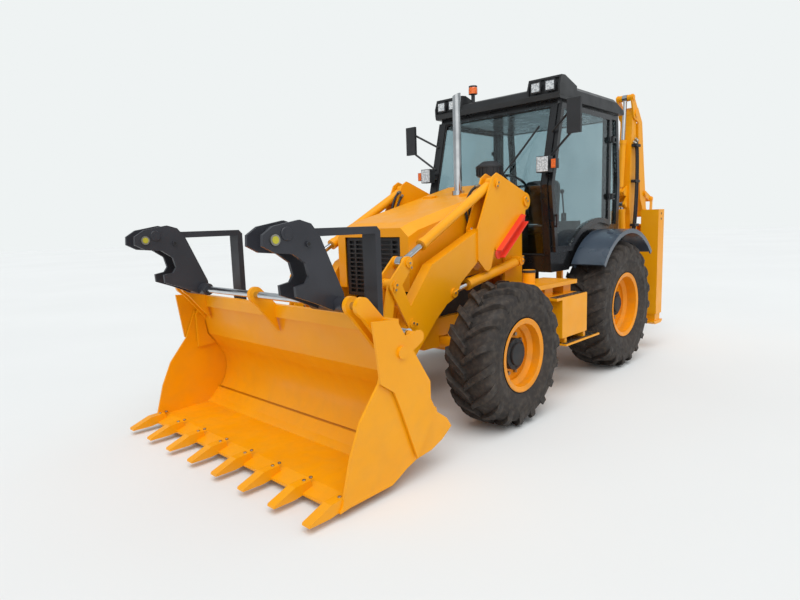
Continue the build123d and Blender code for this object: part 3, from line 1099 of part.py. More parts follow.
def hoe_link():
    """Links from the idlers down to the digging bucket's ears."""
    plate = strap(HOE_RAM_EYE, HOE_LINK_PIN, 34, 34, LINK_Y, LINK_Y + IDLER_T)
    plate -= across(HOE_RAM_EYE, SMALL_PIN_R + FIT, LINK_Y, LINK_Y + IDLER_T)
    plate += across(HOE_LINK_PIN, SMALL_PIN_R * 1.35, LINK_Y + IDLER_T, LINK_Y + IDLER_T + 9)
    return both(plate)


def hoe_bucket():
    """Digging bucket: side plates, curved skin, ears on the pivot pin and teeth."""
    flank = side_plate(HOE_SIDE, HOE_HALF_W - 14, HOE_HALF_W)
    flank += strap(DIPPER_TIP, HOE_LINK_PIN, 52, 38, IDLER_Y, IDLER_Y + IDLER_T)
    flank += side_plate([(-1880, 1440), (-1880, 1575), (-2010, 1492), (-2045, 1515), (-2045, 1440)], IDLER_Y,
                        IDLER_Y + IDLER_T)
    flank += across(DIPPER_TIP, HOE_PIN_R * 1.35, IDLER_Y + IDLER_T, IDLER_Y + IDLER_T + 12)
    shape = side_plate(HOE_SKIN, -HOE_HALF_W, HOE_HALF_W) + both(flank)
    shape += across(DIPPER_TIP, HOE_PIN_R, -IDLER_Y - IDLER_T, IDLER_Y + IDLER_T)
    end = HOE_HALF_W - 30
    tooth = side_plate([(-1775, 955), (-1790, 990), (-1712, 1030), (-1672, 1052), (-1668, 1040), (-1702, 988)],
                       -26, 26)
    for number in range(HOE_TEETH):
        shape += Pos(0, -end + number * 2 * end / (HOE_TEETH - 1), 0) * tooth
    return shape


# ================================================================== all nodes
def machine():
    """Every node by name, still measured from the rear axle."""
    nodes = {"chassis_frame": chassis(), "engine_block": engine_block(), "axles": front_axle() + rear_axle(),
             "radiator_grille": radiator_grille(), "rear_cowl": cowl() + bonnet_hinge_pins(), "bonnet": bonnet(),
             "exhaust_and_precleaner": exhaust_stack() + precleaner(), "cab_frame": cab_frame(),
             "cab_roof": cab_roof(), "cab_glass": cab_glass(), "cab_controls": seat_base(),
             "seat_cushions": seat_cushions(), "fenders": fenders(), "side_steps": side_steps(),
             "lamps_and_mirrors": mirrors() + lamps()}
    nodes.update(wheel_nodes())
    for name, piece in (("knuckle", knuckle()), ("door", cab_door()), ("door_glass", door_glass()),
                        ("stabiliser", stabiliser()), ("fork_carrier", fork_carrier()), ("fork_tine", fork_tine())):
        nodes[f"{name}_left"] = piece
        nodes[f"{name}_right"] = mirrored(piece)
    nodes.update(loader_arm=loader_arm(), safety_strut=safety_strut(), tilt_levers=both(tilt_lever()),
                 bucket_links=both(bucket_link()), bucket_body=bucket_body(), bucket_clam=bucket_clam())
    for name, *sizes in LOADER_RAMS:
        barrel, rod = ram(*sizes)
        nodes[f"{name}_barrels"] = both(barrel)
        nodes[f"{name}_rods"] = both(rod)
    hoe = {"shift_carriage": carriage(), "kingpost": kingpost(), "boom": boom(), "dipper": dipper(),
           "hoe_idler": hoe_idler(), "hoe_link": hoe_link(), "hoe_bucket": hoe_bucket()}
    for name, *sizes in HOE_RAMS:
        hoe[f"{name}_barrel"], hoe[f"{name}_rod"] = ram(*sizes)
    nodes.update({name: Pos(0, SHIFT_Y, 0) * piece for name, piece in hoe.items()})
    return nodes


def middle_of(nodes):
    """Middle of the machine's length and width, where its origin stands."""
    boxes = [piece.bounding_box() for piece in nodes.values()]
    return [(min(getattr(box.min, way) for box in boxes) + max(getattr(box.max, way) for box in boxes)) / 2
            for way in "XY"]


def main():
    os.makedirs("parts", exist_ok=True)
    nodes = machine()
    x, y = middle_of(nodes)
    for name, piece in nodes.items():
        export_step(Pos(-x, -y, 0) * piece, f"parts/{name}.step")
    print(f"{len(nodes)} nodes, origin {x:.3f} mm ahead of the rear axle and {y:.3f} mm left of it")


if __name__ == "__main__":
    main()
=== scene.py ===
# %% [markdown]
# # A backhoe loader, dressed
# The solids of the machine come in as a fixed frame, already in their places and riding on their joints.
# This lesson gives them their finishes and adds what is too small or too soft for the solids: the rounded
# tyres with their lugs, lenses, seals, hoses, nuts, pads and tread plates. Each new piece is modelled with
# bmesh operators, stays where it is made, and rides on the body that carries it.

import math

import bmesh
import bpy
from mathutils import Matrix, Vector


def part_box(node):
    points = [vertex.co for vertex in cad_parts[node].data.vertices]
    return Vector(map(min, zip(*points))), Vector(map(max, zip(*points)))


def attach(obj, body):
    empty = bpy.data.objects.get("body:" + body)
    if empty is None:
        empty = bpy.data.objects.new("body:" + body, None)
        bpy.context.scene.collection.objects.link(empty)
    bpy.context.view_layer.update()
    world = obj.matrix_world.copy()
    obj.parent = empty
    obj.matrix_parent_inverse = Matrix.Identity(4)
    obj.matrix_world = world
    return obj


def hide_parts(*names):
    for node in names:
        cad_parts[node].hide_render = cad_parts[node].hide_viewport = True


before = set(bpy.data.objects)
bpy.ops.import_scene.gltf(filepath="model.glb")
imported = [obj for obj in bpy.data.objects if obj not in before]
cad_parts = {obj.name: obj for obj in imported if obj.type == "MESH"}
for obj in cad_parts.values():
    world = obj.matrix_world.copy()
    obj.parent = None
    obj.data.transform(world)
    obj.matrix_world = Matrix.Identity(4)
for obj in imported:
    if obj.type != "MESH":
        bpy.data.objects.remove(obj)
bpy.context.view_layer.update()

# %% [markdown]
# Places on the machine are easiest to read from the middle of the rear axle: x forward, y to the left and
# z up from the ground. The rear rim's box says where that axle stands in the frame, so one small function
# turns a place in millimetres from the axle into a place in the scene.

# %% Places measured from the rear axle
low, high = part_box("rear_rim_left")
AXLE_X = (low.x + high.x) / 2


def at(x, y, z):
    """A place in millimetres from the rear axle, on the ground, as a point of the scene."""
    return Vector((x / 1000 + AXLE_X, y / 1000, z / 1000))


SIDES = (("left", 1), ("right", -1))      # name of a side, and the way its y goes
print("rear axle at x =", round(AXLE_X, 3))

# %% [markdown]
# A new piece starts as a bmesh and ends as an object at the origin. The same few lines do that each time:
# merge doubles, turn the faces outwards, write the mesh, give it its finish and set it on its body.
# A flat-sided piece is shaded flat; a round one is smooth up to a sharp angle.

# %% From bmesh to a piece that rides on a body
def settle(name, bm, finish, body, smooth=35, replaces=()):
    """Writes the bmesh as an object with its material on its body; smooth is the sharpest smoothed angle."""
    bmesh.ops.remove_doubles(bm, verts=bm.verts, dist=1e-5)
    bmesh.ops.recalc_face_normals(bm, faces=bm.faces)
    for face in bm.faces:
        face.smooth = smooth > 0
    for edge in bm.edges:
        if len(edge.link_faces) == 2:
            edge.smooth = edge.calc_face_angle(0) < math.radians(smooth)
    mesh = bpy.data.meshes.new(name)
    bm.to_mesh(mesh)
    bm.free()
    piece = bpy.data.objects.new(name, mesh)
    bpy.context.scene.collection.objects.link(piece)
    mesh.materials.append(finish)
    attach(piece, body)
    if replaces:
        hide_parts(*replaces)
    return piece


def add_box(bm, corner, far):
    """A box between two corners."""
    made = bmesh.ops.create_cube(bm, size=1)["verts"]
    size = far - corner
    bmesh.ops.scale(bm, vec=(abs(size.x), abs(size.y), abs(size.z)), verts=made)
    bmesh.ops.translate(bm, vec=(corner + far) / 2, verts=made)
    return made


def add_rod(bm, start, end, radius, sides=16, far_radius=None):
    """A closed round bar or cone from one point to another."""
    far_radius = radius if far_radius is None else far_radius
    made = bmesh.ops.create_cone(bm, cap_ends=True, segments=sides, radius1=radius, radius2=far_radius,
                                 depth=(end - start).length)["verts"]
    turn = (end - start).to_track_quat("Z", "Y").to_matrix()
    bmesh.ops.rotate(bm, cent=(0, 0, 0), matrix=turn, verts=made)
    bmesh.ops.translate(bm, vec=(start + end) / 2, verts=made)
    return made


def bevelled(bm, verts, width, segments=2):
    """Rounds every edge between the given vertices."""
    picked = set(verts)
    edges = [edge for edge in bm.edges if edge.verts[0] in picked and edge.verts[1] in picked]
    bmesh.ops.bevel(bm, geom=edges, offset=width, segments=segments, affect="EDGES", profile=0.5, material=-1)


def spun(bm, section, steps):
    """A section of radius and height spun about the Z axis, and closed at its foot."""
    verts = [bm.verts.new((radius, 0, z)) for radius, z in section]
    edges = [bm.edges.new(pair) for pair in zip(verts, verts[1:])]
    bmesh.ops.spin(bm, geom=verts + edges, cent=(0, 0, 0), axis=(0, 0, 1), angle=math.tau, steps=steps,
                   use_merge=True)
    bmesh.ops.contextual_create(bm, geom=[edge for edge in bm.edges if edge.is_boundary])


def ball(bm, centre, radius):
    """A small ball that rounds the knee where two rods meet."""
    bmesh.ops.create_uvsphere(bm, u_segments=12, v_segments=8, radius=radius,
                              matrix=Matrix.Translation(centre))


def chain(bm, places, radius):
    """Rods from place to place, with a ball where each begins."""
    for start, end in zip(places, places[1:]):
        add_rod(bm, start, end, radius, sides=12)
        ball(bm, start, radius)


# %% [markdown]
# ## Finishes
# Every material starts from what the real surface is. One function turns a colour written as on a paint
# card into the linear numbers that the shader wants, and one adds a node with its settings and links.

# %% Colour and node helpers
def paint(card):
    """#rrggbb as linear red, green, blue and alpha."""
    parts = [int(card[i:i + 2], 16) / 255 for i in (1, 3, 5)]
    return [c / 12.92 if c <= 0.04045 else ((c + 0.055) / 1.055) ** 2.4 for c in parts] + [1.0]


def node(tree, kind, inputs=None, **settings):
    """Adds a node; an input is either a value or the socket that feeds it."""
    made = tree.nodes.new(kind)
    for key, value in settings.items():
        setattr(made, key, value)
    for key, value in (inputs or {}).items():
        if isinstance(value, bpy.types.NodeSocket):
            tree.links.new(value, made.inputs[key])
        else:
            made.inputs[key].default_value = value
    return made


def shader(name, **sockets):
    """A material with an empty Principled shader, whose constants are set on its own sockets."""
    made = bpy.data.materials.new(name)
    made.use_nodes = True
    tree = made.node_tree
    tree.nodes.clear()
    body = node(tree, "ShaderNodeBsdfPrincipled", sockets)
    output = node(tree, "ShaderNodeOutputMaterial")
    tree.links.new(body.outputs["BSDF"], output.inputs["Surface"])
    place = node(tree, "ShaderNodeTexCoord").outputs["Object"]
    return made, tree, body, place


def mottle(tree, place, size_mm, detail=3.0, low=0.35, high=0.65):
    """Soft patches of about the given size, from 0 to 1."""
    noise = node(tree, "ShaderNodeTexNoise", {"Vector": place, "Scale": 1000 / size_mm, "Detail": detail})
    spread = node(tree, "ShaderNodeMapRange", {"Value": noise.outputs[0], "From Min": low, "From Max": high})
    return spread.outputs[0]


def blend_colours(tree, share, first, second):
    """Mixes two colours by a share; either may be a card or a socket."""
    mix = node(tree, "ShaderNodeMix", {"Factor": share}, data_type="RGBA")
    for slot, value in ((6, first), (7, second)):
        if isinstance(value, str):
            mix.inputs[slot].default_value = paint(value)
        else:
            tree.links.new(value, mix.inputs[slot])
    return mix.outputs[2]


def rough(tree, body, share, smooth, coarse):
    """Roughness that wanders between two values."""
    spread = node(tree, "ShaderNodeMapRange", {"Value": share, "To Min": smooth, "To Max": coarse})
    tree.links.new(spread.outputs[0], body.inputs["Roughness"])


def bumps(tree, body, height, depth_mm, strength=0.5):
    """Raises the surface by a height pattern of the given depth."""
    bump = node(tree, "ShaderNodeBump", {"Height": height, "Distance": depth_mm / 1000, "Strength": strength})
    tree.links.new(bump.outputs[0], body.inputs["Normal"])


def near_ground(tree, place, full_z, clear_z):
    """1 at and below a height in metres, 0 above another: where splashed dust collects."""
    z = node(tree, "ShaderNodeSeparateXYZ", {"Vector": place}).outputs[2]
    ramp = node(tree, "ShaderNodeMapRange", {"Value": z, "From Min": full_z, "From Max": clear_z,
                                            "To Min": 1.0, "To Max": 0.0})
    return ramp.outputs[0]


def times(tree, a, b):
    """Product of two values."""
    made = node(tree, "ShaderNodeMath", operation="MULTIPLY")
    for slot, value in ((0, a), (1, b)):
        if isinstance(value, (int, float)):
            made.inputs[slot].default_value = value
        else:
            tree.links.new(value, made.inputs[slot])
    return made.outputs[0]


# %% [markdown]
# Machine enamel is a two-pack polyurethane sprayed on steel plate: a deep colour under a hard gloss, with a
# faint orange peel of about 8 mm that only the highlights show, slightly uneven coverage over a few hundred
# millimetres, and a dull film of dust on what is near the ground.

# %% Sprayed enamel
def enamel(name, card, shade, dust_card, gloss=0.34, dust=0.18, coat=0.12):
    """Gloss paint in a colour and its shade, with dust near the ground."""
    made, tree, body, place = shader(name, **{"Coat Weight": coat, "Coat Roughness": 0.12,
                                              "Specular IOR Level": 0.32})
    colour = blend_colours(tree, mottle(tree, place, 420), card, shade)
    grime = times(tree, near_ground(tree, place, 0.1, 1.3), mottle(tree, place, 90, 6.0, 0.42, 0.72))
    dusty = blend_colours(tree, times(tree, grime, dust), colour, dust_card)
    tree.links.new(dusty, body.inputs["Base Color"])
    rough(tree, body, mottle(tree, place, 160), gloss, gloss + 0.16)
    bumps(tree, body, mottle(tree, place, 8, 1.0, 0.0, 1.0), 0.12, 0.25)
    return made


machine_enamel = enamel("machine_enamel", "#ee9f00", "#eb9a00", "#c08c38")
rim_enamel = enamel("rim_enamel", "#ec9400", "#e68c02", "#a87838", gloss=0.36, dust=0.6)
fork_enamel = enamel("fork_enamel", "#33343a", "#2a2b30", "#6a655c", gloss=0.34)
cab_enamel = enamel("cab_enamel", "#1d1e20", "#17181a", "#4c4a46", gloss=0.22, coat=0.5)
strut_enamel = enamel("strut_enamel", "#e8452f", "#dd3a26", "#9a6a50")
fender_enamel = enamel("fender_enamel", "#3f4a57", "#35404c", "#6c6860", gloss=0.24, coat=0.5)
iron_enamel = enamel("iron_enamel", "#2c2d2f", "#232425", "#5c564c", gloss=0.5, coat=0.0)

# %% [markdown]
# Moulded plastic on the roof, lamps and console keeps the fine spark grain of its mould, here 3 mm across
# so that it shows at all, and has no coat. Tyre rubber is dull, carbon black gone brown with dust.

# %% Moulded plastic and rubber
def moulded(name, card, shade, gloss=0.5, grain=3, depth=0.2):
    """Dull plastic or rubber with the grain of its mould."""
    made, tree, body, place = shader(name)
    tree.links.new(blend_colours(tree, mottle(tree, place, 260), card, shade), body.inputs["Base Color"])
    rough(tree, body, mottle(tree, place, 120), gloss, gloss + 0.14)
    bumps(tree, body, mottle(tree, place, grain, 1.0, 0.2, 0.8), depth, 0.4)
    return made


roof_plastic = moulded("roof_plastic", "#202123", "#191a1b", gloss=0.34)
black_plastic = moulded("black_plastic", "#1f2022", "#26272a", gloss=0.45)
seal_rubber = moulded("seal_rubber", "#141415", "#1b1b1c", gloss=0.7)
hose_rubber = moulded("hose_rubber", "#18181a", "#222123", gloss=0.55, grain=6, depth=0.5)

tyre_rubber, tree, body, place = shader("tyre_rubber", **{"Specular IOR Level": 0.35})
dust = times(tree, mottle(tree, place, 35, 6.0, 0.45, 0.75), 0.55)
worn = blend_colours(tree, mottle(tree, place, 300), "#2b2725", "#37312d")
tree.links.new(blend_colours(tree, dust, worn, "#574d43"), body.inputs["Base Color"])
rough(tree, body, mottle(tree, place, 60), 0.62, 0.86)
bumps(tree, body, mottle(tree, place, 7, 5.0, 0.2, 0.8), 0.7, 0.5)

# %% [markdown]
# Ram rods are ground and hard-chromed, the exhaust pipe is polished stainless steel, and pins and nuts are
# zinc-plated. All three are metals, which keep the default index and differ in colour and roughness.

# %% Bare metals
def bare_metal(name, card, shade, smooth, coarse, grain=0.0):
    """Unpainted metal whose roughness wanders between two values."""
    made, tree, body, place = shader(name, Metallic=1.0)
    tree.links.new(blend_colours(tree, mottle(tree, place, 140), card, shade), body.inputs["Base Color"])
    rough(tree, body, mottle(tree, place, 50), smooth, coarse)
    if grain:
        bumps(tree, body, mottle(tree, place, 4, 2.0, 0.2, 0.8), grain, 0.3)
    return made


hard_chrome = bare_metal("hard_chrome", "#d4d6d8", "#c2c5c8", 0.10, 0.18)
stainless = bare_metal("stainless", "#cfd0d0", "#b9bbbc", 0.14, 0.26)
zinc_plate = bare_metal("zinc_plate", "#a8a59a", "#8f8c82", 0.32, 0.5, grain=0.1)

# %% [markdown]
# Cab glass is lightly tinted float glass, which passes most of the light. Lenses are coloured acrylic in
# front of a bright reflector. They are drawn as a glossy face with a fine mottle of lighter and darker
# patches, which is painted glints of the facets.

# %% Glass and lenses
cab_glass, tree, body, place = shader("cab_glass", **{"Transmission Weight": 1.0, "IOR": 1.45,
                                                     "Roughness": 0.015})
tint = blend_colours(tree, mottle(tree, place, 900), "#bfd0d4", "#b3c6cb")
tree.links.new(tint, body.inputs["Base Color"])


def lens(name, card, shade):
    """Lamp face of acrylic, with the glints of its facets painted in as a mottle."""
    made, tree, body, place = shader(name, **{"Roughness": 0.18, "Coat Weight": 0.6, "Coat Roughness": 0.05})
    painted_glints = mottle(tree, place, 12, 0.0, 0.45, 0.55)
    tree.links.new(blend_colours(tree, painted_glints, card, shade), body.inputs["Base Color"])
    return made


amber_lens = lens("amber_lens", "#f07010", "#dc5c08")
# The clear lamps' pale grey is painted reflection of the chrome reflector behind the lens.
lamp_face = lens("lamp_face", "#d9dee0", "#aab0b4")

# %% [markdown]
# The seat is covered in a black-grey woven cloth of coarse yarn. Two crossed waves, 5 mm apart, make the
# weave, and sheen gives the soft edge that cloth has against the light.

# %% Seat cloth
YARN_MM = 5
WAVES = 1000 / YARN_MM / 6.28
seat_cloth, tree, body, place = shader("seat_cloth", **{"Roughness": 0.9, "Sheen Weight": 0.35,
                                                       "Sheen Roughness": 0.5})
warp = node(tree, "ShaderNodeTexWave", {"Vector": place, "Scale": WAVES}, bands_direction="X")
weft = node(tree, "ShaderNodeTexWave", {"Vector": place, "Scale": WAVES}, bands_direction="Y")
cloth = times(tree, warp.outputs[1], weft.outputs[1])
tree.links.new(blend_colours(tree, cloth, "#232427", "#3c3e43"), body.inputs["Base Color"])
bumps(tree, body, cloth, 0.6, 0.6)

# %% [markdown]
# ## The solids' finishes
# A table says which finish each solid gets. The solids' own shapes are left alone.

# %% Dress the solids
FINISHES = {
    machine_enamel: ("chassis_frame", "axles", "rear_cowl", "bonnet", "side_steps", "loader_arm",
                     "tilt_levers", "bucket_links", "bucket_body", "bucket_clam", "shift_carriage",
                     "kingpost", "boom", "dipper", "hoe_idler", "hoe_link", "hoe_bucket", "lift_ram_barrels",
                     "tilt_ram_barrels", "clam_ram_barrels", "boom_ram_barrel", "dipper_ram_barrel",
                     "hoe_ram_barrel", "stabiliser_left", "stabiliser_right", "knuckle_left",
                     "knuckle_right"),
    rim_enamel: ("front_rim_left", "front_rim_right", "rear_rim_left", "rear_rim_right"),
    fork_enamel: ("fork_carrier_left", "fork_carrier_right", "fork_tine_left", "fork_tine_right"),
    cab_enamel: ("cab_frame", "door_left", "door_right"),
    roof_plastic: ("cab_roof",),
    black_plastic: ("cab_controls", "lamps_and_mirrors", "radiator_grille"),
    fender_enamel: ("fenders",),
    strut_enamel: ("safety_strut",),
    iron_enamel: ("engine_block",),
    stainless: ("exhaust_and_precleaner",),
    hard_chrome: ("lift_ram_rods", "tilt_ram_rods", "clam_ram_rods", "boom_ram_rod", "dipper_ram_rod",
                  "hoe_ram_rod"),
    cab_glass: ("cab_glass", "door_glass_left", "door_glass_right"),
    tyre_rubber: ("front_tyre_left", "front_tyre_right", "rear_tyre_left", "rear_tyre_right"),
    seat_cloth: ("seat_cushions",),
}
dressed = {name: finish for finish, names in FINISHES.items() for name in names}
for name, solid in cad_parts.items():
    for slot in solid.material_slots:
        slot.material = dressed[name]
print(len(dressed), "solids dressed of", len(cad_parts))

# %% [markdown]
# ## Floor, light and camera
# The machine stands on a plain pale floor that runs up into the backdrop's colour. Three wide suns, strong
# to weak, and an even sky light it as a bright cloudy yard does. The camera stands at the left front
# corner, at eye height.

# %% Floor and sky
bm = bmesh.new()
bmesh.ops.create_circle(bm, cap_ends=True, segments=64, radius=60)
mesh = bpy.data.meshes.new("floor")
bm.to_mesh(mesh)
bm.free()
floor = bpy.data.objects.new("floor", mesh)
bpy.context.scene.collection.objects.link(floor)
pale, tree, body, place = shader("pale_floor", Roughness=0.9)
body.inputs["Specular IOR Level"].default_value = 0.1
screed = blend_colours(tree, mottle(tree, place, 4000), "#dedfde", "#e1e2e1")
tree.links.new(screed, body.inputs["Base Color"])
mesh.materials.append(pale)

sky = bpy.data.worlds.new("sky")
bpy.context.scene.world = sky
sky.use_nodes = True
tree = sky.node_tree
tree.nodes.clear()
path = node(tree, "ShaderNodeLightPath")
seen = node(tree, "ShaderNodeMath", operation="MAXIMUM",
            inputs={0: path.outputs["Is Camera Ray"], 1: path.outputs["Is Transmission Ray"]})
soft = node(tree, "ShaderNodeBackground", {"Color": paint("#e6ecf0"), "Strength": 0.60})
back = node(tree, "ShaderNodeBackground", {"Color": paint("#eff3f3"), "Strength": 1.0})
mix = node(tree, "ShaderNodeMixShader", {0: seen.outputs[0], 1: soft.outputs[0], 2: back.outputs[0]})
node(tree, "ShaderNodeOutputWorld", {"Surface": mix.outputs[0]})

# %% Lamps and camera
SUNS = (      # name, where it shines, spread in degrees, strength
    ("key_sun", (-0.38, -0.42, -1.0), 55, 2.05),
    ("fill_sun", (-0.70, -0.60, -0.30), 80, 0.75),
    ("rear_sun", (0.8, -0.25, -0.7), 60, 0.30),
)
for name, aim, spread, strength in SUNS:
    lamp = bpy.data.lights.new(name, "SUN")
    lamp.angle = math.radians(spread)
    lamp.energy = strength
    holder = bpy.data.objects.new(name, lamp)
    bpy.context.scene.collection.objects.link(holder)
    holder.rotation_euler = Vector(aim).to_track_quat("-Z", "Y").to_euler()

CAMERA_PLACE = at(5913, 3405, 1589)
CAMERA_TURN = (223.62, -7.72, -1.81)       # yaw from forward, pitch and roll, in degrees
camera = bpy.data.objects.new("camera", bpy.data.cameras.new("camera"))
bpy.context.scene.collection.objects.link(camera)
camera.data.sensor_width = 36
camera.data.lens = 25.66
yaw, pitch, roll = (math.radians(angle) for angle in CAMERA_TURN)
ahead = Vector((math.cos(yaw) * math.cos(pitch), math.sin(yaw) * math.cos(pitch), math.sin(pitch)))
level = ahead.cross(Vector((0, 0, 1))).normalized()
upright = level.cross(ahead)
right = level * math.cos(roll) + upright * math.sin(roll)
up = upright * math.cos(roll) - level * math.sin(roll)
facing = Matrix((right, up, -ahead)).transposed().to_4x4()
camera.matrix_world = Matrix.Translation(CAMERA_PLACE) @ facing
bpy.context.scene.camera = camera
bpy.context.scene.view_settings.view_transform = "Standard"

# %% [markdown]
# ## Tyres
# A loader's tyre is a rounded carcass with a chevron of tall rubber lugs. The solid is a plain one of flats;
# here the carcass is a section spun round the axle, with a bead ring and two ribs on its side, and each lug
# is a cut box, bent round the tread and over the shoulder, then copied round. Spinning a section suits any
# round body, and one bent lug repeated keeps the pattern regular.

# %% Carcass and lugs
LUG_HEIGHT = 0.038
LUG_GAP = 0.0045            # the lugs' tops end this far inside the tyre's full radius
LUG_BEVEL = 0.004


def carcass(bm, radius, width, seat):
    """The tyre's section, spun about the Y axis at the origin."""
    tread = radius - LUG_HEIGHT
    half = width / 2
    bead = 0.43 * width - 0.013
    middle = (tread + seat) / 2
    right_side = [(seat, bead), (seat + 0.034, bead), (seat + 0.042, bead + 0.012),
                  (seat + 0.060, 0.90 * half), (middle - 0.02, 0.955 * half), (middle - 0.012, 0.975 * half),
                  (middle + 0.004, 0.975 * half), (middle + 0.012, 0.96 * half),
                  (tread - 0.075, 0.955 * half), (tread - 0.045, 0.93 * half), (tread - 0.018, 0.80 * half),
                  (tread - 0.004, 0.50 * half), (tread, 0.0)]
    section = right_side + [(r, -y) for r, y in reversed(right_side[:-1])]
    verts = [bm.verts.new((0, y, r)) for r, y in section]
    edges = [bm.edges.new((a, b)) for a, b in zip(verts, verts[1:] + verts[:1])]
    bmesh.ops.spin(bm, geom=verts + edges, cent=(0, 0, 0), axis=(0, 1, 0), angle=math.tau, steps=96,
                   use_merge=True)


def lug(radius, width, side):
    """Mesh of one lug on top of the tyre, from the tread's middle to below its shoulder."""
    bm = bmesh.new()
    add_box(bm, Vector((-0.5, 0, -0.5)), Vector((0.5, 1, 0.5)))
    lengthwise = [e for e in bm.edges if abs(e.verts[0].co.y - e.verts[1].co.y) > 0.5]
    bmesh.ops.subdivide_edges(bm, edges=lengthwise, cuts=6, use_grid_fill=True)
    half = 0.97 * width / 2
    for v in bm.verts:
        share = v.co.y
        top = v.co.z > 0
        lean = 0.075 - 0.150 * share ** 0.85
        reach = lean + v.co.x * (0.052 + 0.016 * share) * (0.86 if top else 1.12)
        height = radius - LUG_GAP - 0.010 * share ** 3 - 0.18 * max(share - 0.80, 0)
        if not top:
            height = radius - LUG_HEIGHT - 0.020 - 0.075 * share ** 2
        v.co = Vector((reach, side * (-0.010 + share * (half + 0.010)), math.sqrt(height ** 2 - reach ** 2)))
    sharp = [e for e in bm.edges if e.calc_face_angle(0) > 0.9]
    bmesh.ops.bevel(bm, geom=sharp, offset=LUG_BEVEL, segments=1, affect="EDGES", profile=0.5, material=-1)
    mesh = bpy.data.meshes.new("lug")
    bm.to_mesh(mesh)
    bm.free()
    return mesh


def tyre(name, replaced, body, radius, width, seat, lugs):
    """A whole tyre on its rim."""
    low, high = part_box(replaced)
    centre = (low + high) / 2
    centre.z = radius
    bm = bmesh.new()
    for side in (1, -1):
        one = lug(radius, width, side)
        for number in range(lugs):
            start = len(bm.verts)
            bm.from_mesh(one)
            bm.verts.ensure_lookup_table()
            turn = (number + (0 if side > 0 else 0.5)) * math.tau / lugs
            bmesh.ops.rotate(bm, cent=(0, 0, 0), matrix=Matrix.Rotation(turn, 3, "Y"), verts=bm.verts[start:])
        bpy.data.meshes.remove(one)
    carcass(bm, radius, width, seat)
    bmesh.ops.translate(bm, vec=centre, verts=bm.verts)
    piece = settle(name, bm, tyre_rubber, body, smooth=40, replaces=(replaced,))
    return piece


TYRES = (      # wheel, radius, width and seat in metres, lugs on each side
    ("front", 0.560, 0.400, 0.254, 18),
    ("rear", 0.665, 0.450, 0.305, 20),
)
for side, _ in SIDES:
    for wheel, radius, width, seat, lugs in TYRES:
        tyre(f"{wheel}_tread_{side}", f"{wheel}_tyre_{side}", f"{wheel}_wheel_{side}",
             radius, width, seat, lugs)

# %% [markdown]
# ## Hubs and wheel nuts
# Each wheel is driven through a planetary hub, an iron drum with a stepped cap, and its yellow disc is held
# by ten nuts. A drum is quickest as stacked rods; the nuts are six-sided rods set round a circle.

# %% Hubs and nuts
HUBS = (      # wheel, its body's x, y and z at the disc in mm, radius of the nuts' circle in metres
    ("front", 2200, 1025, 560, 0.155),
    ("rear", 0, 875, 665, 0.17),
)
DISC_FACE = 8               # from the disc's middle to its outer face, mm
DRUM_R, DRUM_DEPTH = 0.123, 0.052
CAP_R, CAP_DEPTH = 0.088, 0.074
CAP_BOLTS = {"ring": 0.106, "count": 8, "size": 0.008, "depth": 0.006}
NUTS = {"count": 10, "size": 0.015, "depth": 0.020}
SEATED = 0.002              # how far a piece sinks into what it stands on


def ring_of_bolts(bm, centre, outward, ring, count, size, depth):
    """Hexagon heads round a circle about the Y axis."""
    for number in range(count):
        angle = number * math.tau / count
        spot = centre + Vector((ring * math.cos(angle), 0, ring * math.sin(angle)))
        add_rod(bm, spot, spot + outward * depth, size, sides=6)


for wheel, x, y, z, nut_circle in HUBS:
    for side, sign in SIDES:
        outward = Vector((0, sign, 0))
        disc = at(x, sign * (y + DISC_FACE), z)
        drum_face = disc + outward * (DRUM_DEPTH - SEATED)
        bm = bmesh.new()
        bevelled(bm, add_rod(bm, disc, disc + outward * DRUM_DEPTH, DRUM_R, sides=32), 0.004)
        bevelled(bm, add_rod(bm, drum_face, disc + outward * CAP_DEPTH, CAP_R, sides=32), 0.006)
        ring_of_bolts(bm, drum_face, outward, **CAP_BOLTS)
        settle(f"{wheel}_hub_{side}", bm, iron_enamel, f"{wheel}_wheel_{side}")
        bm = bmesh.new()
        ring_of_bolts(bm, disc, outward, nut_circle, **NUTS)
        settle(f"{wheel}_nuts_{side}", bm, zinc_plate, f"{wheel}_wheel_{side}", smooth=20)

# %% [markdown]
# ## Pins of the loader
# Every pin of the loader's linkage is kept from turning by a flag plate with two bolts. The same few boxes
# and rods make them all; a table gives each pin's place and the body that carries its head.

# %% Pin keepers
PINS = (      # body, x, z, y of the head's face, angle of the flag
    ("machine", 1240, 1750, 607, 40),
    ("machine", 1270, 1200, 573, 100),
    ("loader_arm", 1705, 1905, 602, -60),
    ("loader_arm", 2310, 1015, 587, 160),
    ("loader_arm", 2840, 850, 605, 200),
    ("tilt_levers", 2865, 1297, 608, 250),
    ("bucket_links", 3005, 1150, 605, 290),
    ("bucket", 3040, 400, 609, 20),
    ("bucket", 3150, 560, 607, 60),
)
FLAG_HALF_T = 0.003
FLAG_CORNERS = (Vector((-0.014, -FLAG_HALF_T, -0.014)), Vector((0.052, FLAG_HALF_T, 0.014)))
FLAG_REACH = 0.08           # no corner of the flag lies further than this from its first bolt
FLAG_BOLTS = (0.0, 0.036)   # places of the bolts along the flag
BOLT_R, BOLT_HEAD = 0.009, 0.005


